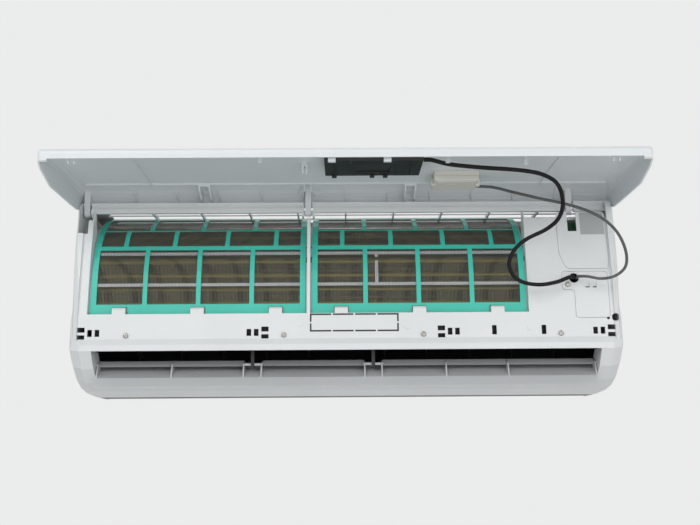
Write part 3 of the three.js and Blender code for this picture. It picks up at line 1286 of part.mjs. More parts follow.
VANE_BANKS.forEach((middle, bank) => {
  const side = bank ? "right" : "left";
  const row = new THREE.Group();
  row.position.set(middle, -VANE_F, VANE_Z);
  row.rotation.x = VANE_TURN;
  for (let i = 0; i < VANES; i += 1) {
    const mesh = piece(`vane_${side}_${i + 1}`, vane(), BLACK());
    mesh.position.x = (i - (VANES - 1) / 2) * VANE_PITCH;
    row.add(mesh);
  }
  const bar = piece(`vane_link_${side}`, linkBar(), BLACK());
  bar.position.set(0, VANE_LINK, -VANE_HALF_HEIGHT - 1.2);
  row.add(bar);
  unit.add(row);
});

// What the panel carries is placed closed, then the whole of it turns about the hinge.
const panel = new THREE.Group();
const closed = new THREE.Group();
panel.position.set(0, -HINGE_F, HINGE_Z);
panel.rotation.x = -rad(PANEL_OPEN);
closed.position.set(0, HINGE_F, -HINGE_Z);
closed.add(
  piece("front_panel", frontPanel(), PANEL_WHITE()),
  piece("display_housing", displayHousing(), BLACK()),
  piece("module_box", moduleBox(), BEIGE()),
);
panel.add(closed);
unit.add(panel);

export default unit;
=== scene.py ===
"""Wall-mounted air conditioner indoor unit: camera, cables, fine pieces and finishes round the frame."""

import json
import math

import bmesh
import bpy
from bpy.props import FloatProperty, FloatVectorProperty, IntProperty, PointerProperty
from mathutils import Matrix, Vector
from mathutils.bvhtree import BVHTree


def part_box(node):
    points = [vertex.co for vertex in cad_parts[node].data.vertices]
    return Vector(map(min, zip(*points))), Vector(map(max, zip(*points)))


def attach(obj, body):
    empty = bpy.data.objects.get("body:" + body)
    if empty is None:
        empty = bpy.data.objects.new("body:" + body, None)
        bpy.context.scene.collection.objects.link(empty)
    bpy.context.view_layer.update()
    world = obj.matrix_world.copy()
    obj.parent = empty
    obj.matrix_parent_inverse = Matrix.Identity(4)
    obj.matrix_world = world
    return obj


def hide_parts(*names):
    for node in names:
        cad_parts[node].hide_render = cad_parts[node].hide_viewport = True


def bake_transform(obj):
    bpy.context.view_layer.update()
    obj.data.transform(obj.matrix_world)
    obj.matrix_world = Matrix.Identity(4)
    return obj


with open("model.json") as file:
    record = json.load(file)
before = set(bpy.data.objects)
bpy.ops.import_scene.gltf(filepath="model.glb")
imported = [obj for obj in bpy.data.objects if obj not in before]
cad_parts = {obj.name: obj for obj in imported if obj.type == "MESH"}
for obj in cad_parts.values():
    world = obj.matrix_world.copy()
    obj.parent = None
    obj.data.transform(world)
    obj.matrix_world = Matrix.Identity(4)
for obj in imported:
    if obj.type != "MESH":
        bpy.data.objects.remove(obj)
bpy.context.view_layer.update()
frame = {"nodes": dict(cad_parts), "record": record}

bl_info = {
    "name": "Wall Unit Dresser",
    "version": (1, 0, 0),
    "blender": (4, 5, 0),
    "location": "3D View > Sidebar > Wall Unit",
    "description": "Adds the cables, filter nets, coil fins and finishes of a wall-mounted indoor unit",
    "category": "Object",
}

# ---- places taken over from the source, in metres ----
BASE = "casing"
COIL_LEFT = -0.3817
COIL_RIGHT = 0.2852
COIL_THICK = 0.023
# Name, the inner corner that a slab stands on (forward, up), lean in degrees, height, and the way it faces.
COIL_SLABS = (
    ("coil_front", (0.143, -0.028), 0.0, 0.086, -1),
    ("coil_top", (0.143, 0.0583), -46.4, 0.068, -1),
    ("coil_rear", (0.0417, 0.0476), 40.8, 0.076, 1),
)
FILTER_HALF = 0.163
FILTER_PLACES = {"left": -0.225, "right": 0.110}
FILTER_BEND = ((0.1775, 0.010), (0.175, 0.075), (0.150, 0.118), (0.086, 0.140))
FILTER_FOOT = (0.178, -0.018)
FILTER_MIDDLE = 0.00125
KNOCK_OUT = (-0.054, 0.077, -0.058, -0.033)
KNOCK_BRIDGE = 0.003
KNOCK_DASHES = 4

# ---- sizes and places of the added pieces, in metres ----
NET_MARGIN = 0.004
COIL_TUBE_PITCH = 0.021
COIL_TUBE_SIDES = 12
# Depth of a column of coil tubes in the slab, and how far up its step each tube sits, as shares.
COIL_COLUMNS = ((0.25, 0.75), (0.75, 0.25))
DISPLAY_TABS = (-0.0195, 0.0565)
TAB_HALF = 0.0052
TAB_DROP = 0.0165
TAB_LIP = 0.0014
TAB_FORWARD = 0.3605
DISPLAY_FEET = (-0.017, 0.038, 0.057)
FOOT_HALF = 0.0035
LID_SIDE = 0.008
LID_END = 0.014
LID_THICK = 0.0014
LATCH_HALF = 0.0035
LATCH_REACH = 0.006
HEAD_DEPTH = 0.0024
CROSS_ARM = 0.0023
CROSS_HALF = 0.00045
CROSS_DEPTH = 0.0014
STICKER_MIDDLE = (0.3805, 0.1085)
STICKER_SIZE = (0.037, 0.036)
STICKER_THICK = 0.00015
# The black strips in the knock-out's slots are painted shade; these are their sizes.
SHADE_STRIP_WIDTH = 0.0024
SHADE_STRIP_DEPTH = 0.0014
SHADE_STRIP_PROUD = 0.0001
SHADE_STRIP_OVERLAP = 0.0003
SHADE_STRIP_GAP = 0.0012

# Points of the two cables as (across, forward, up), in millimetres.
DISPLAY_CABLE = (
    (106.6, 350, 156), (112, 350, 156), (118, 349.6, 155.6), (140, 343, 152), (182, 337, 149),
    (246, 330, 146), (274, 322, 143), (296, 310, 135), (306, 298, 123), (310, 284, 105),
    (305, 272, 90), (291, 260, 79), (262, 247, 66), (247, 238, 53), (240, 230, 35),
    (245, 224, 20), (258, 218, 10), (286, 210, 6), (315, 204, 11), (335, 200, 19),
    (342.4, 192, 21), (342.4, 180, 21),
)
MODULE_CABLE = (
    (197.3, 218, 156), (206, 219, 155.5), (223, 222, 153), (250, 228, 144), (291, 236, 131),
    (325, 243, 121), (358, 248, 108), (383, 247, 93), (402, 241, 73), (414, 230, 46),
    (413, 222, 29), (400, 214, 18), (380, 208, 15), (362, 204, 19), (350.2, 194, 21),
    (350.2, 180, 21),
)

# Where each cable's bend starts and ends. The cables are laid without them.
DISPLAY_BEND = ((0.2201, -0.1797, 0.1425), (0.2085, -0.3316, 0.1368))
MODULE_BEND = ((0.2492, -0.1259, 0.1031), (0.2111, -0.2502, 0.1218))

# ---- camera, fitted to the picture ----
CAMERA_PLACE = (-0.005081, -1.571483, -0.237916)
CAMERA_YAW = 0.0077325
CAMERA_PITCH = 0.2022669
CAMERA_ROLL = 0.0073998
CAMERA_LENS = 47.83
SENSOR = 36.0

# ---- stage ----
PALE = (0.83, 0.84, 0.835, 1)
FLOOR_SIZE = 9
FLOOR_HEIGHT = -1.1
LAMP_AIM = (0, -0.15, 0)
WORLD_STRENGTH = 0.33
# Name, place, size and power of each lamp.
LAMPS = (
    ("key", (-0.9, -2.3, 1.1), 1.6, 23),
    ("fill", (1.4, -2.2, 0.5), 1.6, 12),
    ("low", (0.2, -1.9, -0.6), 1.2, 6),
    ("back", (0.2, 1.4, 1.6), 1.6, 6),
)


class UnitSizes(bpy.types.PropertyGroup):
    """Sizes of the fine pieces."""

    net_pitch: FloatProperty(
        name="Net pitch", description="Spacing of the strands of a filter net",
        default=0.0022, min=0.001, max=0.01, unit="LENGTH")
    strand: FloatProperty(
        name="Net strand", description="Width of one strand of a filter net",
        default=0.0003, min=0.0001, max=0.002, unit="LENGTH")
    fin_pitch: FloatProperty(
        name="Fin pitch", description="Spacing of the fins of the coil",
        default=0.0021, min=0.001, max=0.01, unit="LENGTH")
    fin_thickness: FloatProperty(
        name="Fin thickness", description="Thickness of one fin, drawn a little thicker than real",
        default=0.0005, min=0.0001, max=0.002, unit="LENGTH")
    tube_radius: FloatProperty(
        name="Coil tube radius", description="Radius of the tubes through the coil's fins",
        default=0.0035, min=0.001, max=0.01, unit="LENGTH")
    display_cable_radius: FloatProperty(
        name="Display cable radius", description="Radius of the black cable",
        default=0.003, min=0.001, max=0.01, unit="LENGTH")
    module_cable_radius: FloatProperty(
        name="Module cable radius", description="Radius of the grey cable",
        default=0.0022, min=0.001, max=0.01, unit="LENGTH")
    screw_sides: IntProperty(
        name="Screw sides", description="Sides of a screw's head", default=32, min=12, max=64)


class UnitColours(bpy.types.PropertyGroup):
    """Colours of the finishes."""

    casing: FloatVectorProperty(
        name="Casing", description="Cool white of the casing",
        default=(0.77, 0.79, 0.79), subtype="COLOR", min=0, max=1)
    panel: FloatVectorProperty(
        name="Front panel", description="White of the panel that opens",
        default=(0.74, 0.77, 0.79), subtype="COLOR", min=0, max=1)
    filters: FloatVectorProperty(
        name="Filters", description="Teal of the filter frames",
        default=(0.054, 0.56, 0.44), subtype="COLOR", min=0, max=1)
    dark: FloatVectorProperty(
        name="Dark plastic", description="Near-black of the inner plastic pieces",
        default=(0.010, 0.0105, 0.012), subtype="COLOR", min=0, max=1)
    fins: FloatVectorProperty(
        name="Coil fins", description="Olive of the coated fins",
        default=(0.33, 0.30, 0.17), subtype="COLOR", min=0, max=1)
    # The louver is white; this colour darkens it for the shade it lies in under the body: painted shade.
    louver: FloatVectorProperty(
        name="Louver", description="Light grey of the louver",
        default=(0.56, 0.575, 0.58), subtype="COLOR", min=0, max=1)


# ---- making meshes ----
def deselect():
    """Leaves object mode with nothing selected."""
    if bpy.context.object and bpy.context.object.mode != "OBJECT":
        bpy.ops.object.mode_set(mode="OBJECT")
    bpy.ops.object.select_all(action="DESELECT")


def select(obj):
    """Makes obj the one selected and active object."""
    deselect()
    obj.select_set(True)
    bpy.context.view_layer.objects.active = obj


def named(name):
    """Gives the active object and its mesh a name."""
    made = bpy.context.object
    made.name = name
    made.data.name = name
    return made


def settle(obj):
    """Puts the object at the origin, with its place in its mesh."""
    select(obj)
    bpy.ops.object.transform_apply(location=True, rotation=True, scale=True)
    return obj


def box(name, lo, hi):
    """A box between two corners, at the origin."""
    deselect()
    size = [b - a for a, b in zip(lo, hi)]
    middle = [(a + b) / 2 for a, b in zip(lo, hi)]
    bpy.ops.mesh.primitive_cube_add(size=1, location=middle)
    made = named(name)
    made.scale = size
    return settle(made)


def modifier(obj, kind, **values):
    """Adds a modifier with these values and applies it."""
    select(obj)
    added = obj.modifiers.new(kind.lower(), kind)
    for key, value in values.items():
        setattr(added, key, value)
    bpy.ops.object.modifier_apply(modifier=added.name)
    return obj


def smooth(obj, degrees=40):
    """Shades the piece smooth up to an angle."""
    select(obj)
    bpy.ops.object.shade_smooth_by_angle(angle=math.radians(degrees))
    return obj


def merge(name, parts):
    """Joins several objects into one."""
    select(parts[0])
    for part in parts[1:]:
        part.select_set(True)
    bpy.context.view_layer.objects.active = parts[0]
    bpy.ops.object.join()
    return named(name)


def copied(obj, matrices):
    """The piece's mesh repeated at each matrix, in one mesh."""
    single = bmesh.new()
    single.from_mesh(obj.data)
    whole = bmesh.new()
    scratch = bpy.data.meshes.new("scratch")
    for matrix in matrices:
        moved = single.copy()
        moved.transform(matrix)
        moved.to_mesh(scratch)
        whole.from_mesh(scratch)
        moved.free()
    whole.to_mesh(obj.data)
    bpy.data.meshes.remove(scratch)
    whole.free()
    single.free()
    return obj


def tree_of(node):
    """A search tree over a CAD node's surface."""
    obj = frame["nodes"][node]
    depsgraph = bpy.context.evaluated_depsgraph_get()
    return BVHTree.FromObject(obj, depsgraph)


def front_of(tree, x, z):
    """Where a line from the front first meets the surface."""
    hit = tree.ray_cast(Vector((x, -1, z)), Vector((0, 1, 0)))
    if hit[0] is None:
        raise RuntimeError(f"nothing is met at {x:.3f}, {z:.3f}")
    return hit[0]


def under_of(tree, x, forward):
    """The height at which a line from below first meets the surface."""
    hit = tree.ray_cast(Vector((x, -forward, -0.5)), Vector((0, 0, 1)))
    if hit[0] is None:
        raise RuntimeError(f"nothing is met at {x:.3f}, {forward:.3f}")
    return hit[0].z


# ---- finishes ----
def start_finish(name, metallic, roughness):
    """A new material with its shader and object coordinates."""
    made = bpy.data.materials.new(name)
    made.use_nodes = True
    nodes = made.node_tree.nodes
    links = made.node_tree.links
    shader = nodes["Principled BSDF"]
    shader.inputs["Metallic"].default_value = metallic
    shader.inputs["Roughness"].default_value = roughness
    where = nodes.new("ShaderNodeTexCoord")
    return made, nodes, links, shader, where.outputs["Object"]


def noise(nodes, links, where, scale, detail=3.0, stretch=None):
    """A noise over the piece, stretched along an axis if asked."""
    made = nodes.new("ShaderNodeTexNoise")
    made.inputs["Scale"].default_value = scale
    made.inputs["Detail"].default_value = detail
    if stretch:
        mapping = nodes.new("ShaderNodeMapping")
        mapping.inputs["Scale"].default_value = stretch
        links.new(where, mapping.inputs["Vector"])
        where = mapping.outputs["Vector"]
    links.new(where, made.inputs["Vector"])
    return made.outputs["Fac"]


def ranged(nodes, links, value, low, high):
    """The value spread from low to high."""
    made = nodes.new("ShaderNodeMapRange")
    made.inputs["From Min"].default_value = 0.3
    made.inputs["From Max"].default_value = 0.7
    made.inputs["To Min"].default_value = low
    made.inputs["To Max"].default_value = high
    links.new(value, made.inputs["Value"])
    return made.outputs["Result"]


def tinted(nodes, links, value, first, second):
    """A colour that goes from first to second with the value."""
    made = nodes.new("ShaderNodeValToRGB")
    made.color_ramp.elements[0].position = 0.3
    made.color_ramp.elements[0].color = (*first, 1)
    made.color_ramp.elements[1].position = 0.7
    made.color_ramp.elements[1].color = (*second, 1)
    links.new(value, made.inputs["Fac"])
    return made.outputs["Color"]


def bumped(nodes, links, shader, height, strength, distance):
    """Fine relief on the shader."""
    made = nodes.new("ShaderNodeBump")
    made.inputs["Strength"].default_value = strength
    made.inputs["Distance"].default_value = distance
    links.new(height, made.inputs["Height"])
    links.new(made.outputs["Normal"], shader.inputs["Normal"])


def shaded(colour, factor):
    """A colour made darker or lighter."""
    return tuple(min(1.0, c * factor) for c in colour)


def moulded(name, colour, roughness=0.42, grain=2600, relief=0.05, cloud=0.02):
    """Moulded plastic: faint clouds in colour and gloss, and a fine grain."""
    made, nodes, links, shader, where = start_finish(name, 0, roughness)
    clouds = noise(nodes, links, where, 9)
    tint = tinted(nodes, links, clouds, shaded(colour, 1 - cloud), shaded(colour, 1 + cloud))
    links.new(tint, shader.inputs["Base Color"])
    gloss = ranged(nodes, links, noise(nodes, links, where, 7, 2), roughness - 0.04, roughness + 0.04)
    links.new(gloss, shader.inputs["Roughness"])
    bumped(nodes, links, shader, noise(nodes, links, where, grain, 2), relief, 0.0001)
    shader.inputs["IOR"].default_value = 1.5
    return made


def metal(name, colour, roughness, streak=(1, 1, 1), scale=60, wear=0.12):
    """Bare metal: streaks or stains in colour and gloss."""
    made, nodes, links, shader, where = start_finish(name, 1, roughness)
    stains = noise(nodes, links, where, scale, 5, streak)
    tint = tinted(nodes, links, stains, shaded(colour, 1 - wear), shaded(colour, 1 + wear))
    links.new(tint, shader.inputs["Base Color"])
    gloss = ranged(nodes, links, stains, roughness - 0.08, roughness + 0.1)
    links.new(gloss, shader.inputs["Roughness"])
    bumped(nodes, links, shader, noise(nodes, links, where, scale * 12, 2, streak), 0.08, 0.0002)
    return made


def coated_fins(name, colour):
    """Coated aluminium fins: olive, with a paler line along each row of tubes."""
    made, nodes, links, shader, where = start_finish(name, 0.35, 0.5)
    rows = nodes.new("ShaderNodeTexWave")
    rows.wave_type = "BANDS"
    rows.bands_direction = "Z"
    rows.inputs["Scale"].default_value = 15
    rows.inputs["Distortion"].default_value = 0.15
    rows.inputs["Detail"].default_value = 1
    rows.inputs["Detail Scale"].default_value = 3
    links.new(where, rows.inputs["Vector"])
    made_ramp = nodes.new("ShaderNodeValToRGB")
    ramp = made_ramp.color_ramp
    ramp.elements[0].position = 0.72
    ramp.elements[0].color = (*colour, 1)
    ramp.elements[1].position = 0.97
    ramp.elements[1].color = (0.40, 0.35, 0.10, 1)
    links.new(rows.outputs["Fac"], made_ramp.inputs["Fac"])
    stains = noise(nodes, links, where, 30, 4)
    dull = tinted(nodes, links, stains, (0.75, 0.75, 0.75), (1, 1, 1))
    blend = nodes.new("ShaderNodeMixRGB")
    blend.blend_type = "MULTIPLY"
    blend.inputs["Fac"].default_value = 1
    links.new(made_ramp.outputs["Color"], blend.inputs["Color1"])
    links.new(dull, blend.inputs["Color2"])
    links.new(blend.outputs["Color"], shader.inputs["Base Color"])
    gloss = ranged(nodes, links, stains, 0.42, 0.6)
    links.new(gloss, shader.inputs["Roughness"])
    return made


def zinc(name):
    """Galvanised sheet: flakes of zinc, each a little lighter or darker."""
    made, nodes, links, shader, where = start_finish(name, 1, 0.45)
    flakes = nodes.new("ShaderNodeTexVoronoi")
    flakes.inputs["Scale"].default_value = 160
    links.new(where, flakes.inputs["Vector"])
    split = nodes.new("ShaderNodeSeparateColor")
    links.new(flakes.outputs["Color"], split.inputs["Color"])
    tint = tinted(nodes, links, split.outputs["Red"], (0.50, 0.51, 0.52), (0.66, 0.67, 0.68))
    links.new(tint, shader.inputs["Base Color"])
    gloss = ranged(nodes, links, split.outputs["Green"], 0.36, 0.52)
    links.new(gloss, shader.inputs["Roughness"])
    bumped(nodes, links, shader, noise(nodes, links, where, 900, 2), 0.1, 0.0001)
    return made


def laminate(name):
    """Circuit board: green resist over the weave of the board, with paler tracks."""
    made, nodes, links, shader, where = start_finish(name, 0, 0.35)
    tracks = nodes.new("ShaderNodeTexBrick")
    tracks.inputs["Scale"].default_value = 90
    tracks.inputs["Color1"].default_value = (0.014, 0.075, 0.03, 1)
    tracks.inputs["Color2"].default_value = (0.02, 0.095, 0.04, 1)
    tracks.inputs["Mortar"].default_value = (0.05, 0.17, 0.08, 1)
    tracks.inputs["Mortar Size"].default_value = 0.03
    links.new(where, tracks.inputs["Vector"])
    links.new(tracks.outputs["Color"], shader.inputs["Base Color"])
    bumped(nodes, links, shader, noise(nodes, links, where, 1500, 2), 0.15, 0.0001)
    return made


def sheath(name, colour):
    """Soft cable sheath: faint long streaks and a dull skin."""
    made, nodes, links, shader, where = start_finish(name, 0, 0.5)
    shader.inputs["Specular IOR Level"].default_value = 0.2
    streaks = noise(nodes, links, where, 80, 3)
    tint = tinted(nodes, links, streaks, shaded(colour, 0.85), shaded(colour, 1.15))
    links.new(tint, shader.inputs["Base Color"])
    gloss = ranged(nodes, links, streaks, 0.42, 0.58)
    links.new(gloss, shader.inputs["Roughness"])
    bumped(nodes, links, shader, noise(nodes, links, where, 2200, 2), 0.1, 0.0001)
    return made


def make_finishes(colours):
    """Every finish of the unit, by the record's slot."""
    dark = tuple(colours.dark)
    return {
        "casing_white": moulded("casing_white", tuple(colours.casing), 0.38),
        "panel_white": moulded("panel_white", tuple(colours.panel), 0.34, relief=0.02, cloud=0.012),
        "black_plastic": moulded("black_plastic", dark, 0.45, cloud=0.12),
        "filter_teal": moulded("filter_teal", tuple(colours.filters), 0.42, cloud=0.05),
        # The louver's finish is darkened below white for the shade under the body: painted shade.
        "louver_grey": moulded("louver_grey", tuple(colours.louver), 0.34),
        "box_beige": moulded("box_beige", (0.72, 0.71, 0.64), 0.48),
        "board_green": laminate("board_green"),
        "galvanised": zinc("galvanised"),
        "nickel_screw": metal("nickel_screw", (0.36, 0.35, 0.33), 0.32, scale=400),
        "fin_aluminium": coated_fins("fin_aluminium", tuple(colours.fins)),
        "dull_tube": metal("dull_tube", (0.30, 0.25, 0.09), 0.5, scale=45),
        "copper_tube": metal("copper_tube", (0.78, 0.36, 0.20), 0.3, scale=45),
        "flare_brass": metal("flare_brass", (0.74, 0.55, 0.24), 0.3, scale=70),
        "motor_steel": metal("motor_steel", (0.45, 0.46, 0.47), 0.4, (0.2, 1, 1), 90),
        "bearing_rubber": moulded("bearing_rubber", shaded(dark, 1.4), 0.75, cloud=0.15),
        "cable_black": sheath("cable_black", (0.008, 0.008, 0.009)),
        "cable_grey": sheath("cable_grey", (0.115, 0.12, 0.12)),
    }


FINISHES = {}


def dress(obj, slot):
    """Gives a new piece the finish of a slot."""
    obj.data.materials.clear()
    obj.data.materials.append(FINISHES[slot])
    return obj


# ---- curves ----
def spline(points, steps=8):
    """A smooth line through the points: centripetal Catmull-Rom, as in the source."""
    ends = [2 * points[0] - points[1], *points, 2 * points[-1] - points[-2]]
    line = []
    for i in range(1, len(ends) - 2):
        p = ends[i - 1:i + 3]
        t = [0.0]
        for a, b in zip(p, p[1:]):
            t.append(t[-1] + max((b - a).length, 1e-9) ** 0.5)
        for k in range(steps):
            at = t[1] + (t[2] - t[1]) * k / steps
            a1 = p[0] * ((t[1] - at) / (t[1] - t[0])) + p[1] * ((at - t[0]) / (t[1] - t[0]))
            a2 = p[1] * ((t[2] - at) / (t[2] - t[1])) + p[2] * ((at - t[1]) / (t[2] - t[1]))
            a3 = p[2] * ((t[3] - at) / (t[3] - t[2])) + p[3] * ((at - t[2]) / (t[3] - t[2]))
            b1 = a1 * ((t[2] - at) / (t[2] - t[0])) + a2 * ((at - t[0]) / (t[2] - t[0]))
            b2 = a2 * ((t[3] - at) / (t[3] - t[1])) + a3 * ((at - t[1]) / (t[3] - t[1]))
            line.append(b1 * ((t[2] - at) / (t[2] - t[1])) + b2 * ((at - t[1]) / (t[2] - t[1])))
    line.append(points[-1].copy())
    return line


def cable(name, places, radius, slot):
    """A round cable along the points, as a closed mesh, and the line that it follows."""
    points = [Vector((x / 1000, -f / 1000, z / 1000)) for x, f, z in places]
    line = spline(points)
    data = bpy.data.curves.new(name, "CURVE")
    data.dimensions = "3D"
    data.bevel_depth = radius
    data.bevel_resolution = 3
    data.use_fill_caps = True
    strand = data.splines.new("POLY")
    strand.points.add(len(line) - 1)
    for point, place in zip(strand.points, line):
        point.co = (*place, 1)
    made = bpy.data.objects.new(name, data)
    bpy.context.collection.objects.link(made)
    select(made)
    bpy.ops.object.convert(target="MESH")
    made = named(name)
    smooth(made, 60)
    dress(made, slot)
    length = sum((b - a).length for a, b in zip(line, line[1:]))
    return made, line, length


def filter_line(count=9):
    """The bent line of a filter from its foot to its far end, as (forward, up)."""
    line = [FILTER_FOOT]
    for i in range(count):
        t = i / (count - 1)
        weights = ((1 - t) ** 3, 3 * t * (1 - t) ** 2, 3 * t * t * (1 - t), t ** 3)
        line.append(tuple(sum(w * p[k] for w, p in zip(weights, FILTER_BEND)) for k in (0, 1)))
    return line


def along(line, pitch):
    """Points every pitch along a line of (forward, up)."""
    found = []
    left = pitch
    for (f0, z0), (f1, z1) in zip(line, line[1:]):
        length = math.hypot(f1 - f0, z1 - z0)
        while left <= length:
            t = left / length
            found.append((f0 + (f1 - f0) * t, z0 + (z1 - z0) * t))
            left += pitch
        left -= length
    return found


# ---- operators ----
class UNIT_OT_camera(bpy.types.Operator):
    """Place the camera at the picture's angle"""

    bl_idname = "unit.camera"
    bl_label = "Camera"

    def execute(self, context):
        data = bpy.data.cameras.new("camera")
        data.sensor_width = SENSOR
        data.lens = CAMERA_LENS
        data.clip_start = 0.01
        made = bpy.data.objects.new("camera", data)
        context.collection.objects.link(made)
        yaw, pitch = CAMERA_YAW, CAMERA_PITCH
        ahead = Vector((math.sin(yaw) * math.cos(pitch), math.cos(yaw) * math.cos(pitch), math.sin(pitch)))
        right = Vector((math.cos(yaw), -math.sin(yaw), 0))
        up = right.cross(ahead)
        cos, sin = math.cos(CAMERA_ROLL), math.sin(CAMERA_ROLL)
        across = right * cos - up * sin
        above = right * sin + up * cos
        turn = Matrix((across, above, -ahead)).transposed().to_4x4()
        made.matrix_world = Matrix.Translation(CAMERA_PLACE) @ turn
        context.scene.camera = made
        return {"FINISHED"}


class UNIT_OT_finishes(bpy.types.Operator):
    """Make the finishes and give each frame node its own"""

    bl_idname = "unit.finishes"
    bl_label = "Finishes"

    def execute(self, context):
        FINISHES.clear()
        FINISHES.update(make_finishes(context.scene.unit_colours))
        for part in frame["record"]["subparts"]:
            node = frame["nodes"][part["node"]]
            finish = FINISHES[part["material_slot"]]
            for slot in node.material_slots:
                slot.material = finish
            if not node.material_slots:
                raise RuntimeError(f"{node.name} has no material slot")
        return {"FINISHED"}


class UNIT_OT_cables(bpy.types.Operator):
    """Lay the two cables between the casing and the open panel"""

    bl_idname = "unit.cables"
    bl_label = "Cables"

    def execute(self, context):
        sizes = context.scene.unit_sizes
        kinds = (
            ("display_cord", "display_cable", DISPLAY_CABLE, DISPLAY_BEND,
             sizes.display_cable_radius, "cable_black", "medium"),
            ("module_cord", "module_cable", MODULE_CABLE, MODULE_BEND,
             sizes.module_cable_radius, "cable_grey", "limp"),
        )
        for name, node, places, (start, end), radius, slot, stiffness in kinds:
            made, line, length = cable(name, places[::-1], radius, slot)
            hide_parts(node)
            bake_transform(made)
        return {"FINISHED"}


class UNIT_OT_filter_nets(bpy.types.Operator):
    """Weave the net of each filter"""

    bl_idname = "unit.filter_nets"
    bl_label = "Filter nets"

    def execute(self, context):
        sizes = context.scene.unit_sizes
        half = sizes.strand / 2
        line = filter_line()
        finish = moulded("net_grey", (0.13, 0.13, 0.12), 0.5, cloud=0.1)
        for side, middle in FILTER_PLACES.items():
            left = middle - FILTER_HALF + NET_MARGIN
            width = 2 * FILTER_HALF - 2 * NET_MARGIN
            # One upright strand: a ribbon drawn along the filter's bend, then thickened and repeated.
            deselect()
            bpy.ops.mesh.primitive_plane_add(size=1)
            upright = named("upright")
            shape = bmesh.new()
            rows = [
                [shape.verts.new((x, -f + FILTER_MIDDLE, z)) for x in (left - half, left + half)]
                for f, z in line
            ]
            for (a, b), (c, d) in zip(rows, rows[1:]):
                shape.faces.new((a, b, d, c))
            shape.to_mesh(upright.data)
            shape.free()
            modifier(upright, "SOLIDIFY", thickness=sizes.strand, offset=0)
            count = int(width / sizes.net_pitch) + 1
            modifier(upright, "ARRAY", count=count, use_relative_offset=False,
                     use_constant_offset=True, constant_offset_displace=(width / (count - 1), 0, 0))
            # One level strand, repeated up the bend.
            level = box("level", (left, -half, -half), (left + width, half, half))
            spots = along(line, sizes.net_pitch)
            copied(level, [Matrix.Translation((0, -f + FILTER_MIDDLE, z)) for f, z in spots])
            net = merge(f"filter_net_{side}", [upright, level])
            net.data.materials.clear()
            net.data.materials.append(finish)
            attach(net, f"{side}_filter")
        return {"FINISHED"}


class UNIT_OT_coil_fins(bpy.types.Operator):
    """Fill the coil with thin fins and the tubes through them"""

    bl_idname = "unit.coil_fins"
    bl_label = "Coil fins"

    def execute(self, context):
        sizes = context.scene.unit_sizes
        length = COIL_RIGHT - COIL_LEFT
        count = int(length / sizes.fin_pitch)
        for node, (forward, up), lean, height, facing in COIL_SLABS:
            lo_y, hi_y = sorted((0, facing * COIL_THICK))
            fin = box("fin", (COIL_LEFT, lo_y, 0), (COIL_LEFT + sizes.fin_thickness, hi_y, height))
            step = (length - sizes.fin_thickness) / (count - 1)
            modifier(fin, "ARRAY", count=count, use_relative_offset=False,
                     use_constant_offset=True, constant_offset_displace=(step, 0, 0))
            dress(fin, "fin_aluminium")
            tubes = []
            rows = max(2, round(height / COIL_TUBE_PITCH))
            for row in range(rows):
                for deep, shift in COIL_COLUMNS:
                    deselect()
                    bpy.ops.mesh.primitive_cylinder_add(
                        vertices=COIL_TUBE_SIDES, radius=sizes.tube_radius, depth=length,
                        location=((COIL_LEFT + COIL_RIGHT) / 2, lo_y + deep * COIL_THICK,
                                  (row + shift) * height / rows),
                        rotation=(0, math.pi / 2, 0))
                    tube = settle(named("tube"))
                    tube.data.materials.append(FINISHES["dull_tube"])
                    tubes.append(tube)
            slab = merge(f"{node}_fins", [fin, *tubes])
            slab.matrix_world = (
                Matrix.Translation((0, -forward, up)) @ Matrix.Rotation(math.radians(lean), 4, "X")
            )
            settle(slab)
            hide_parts(node)
            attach(slab, BASE)
        return {"FINISHED"}


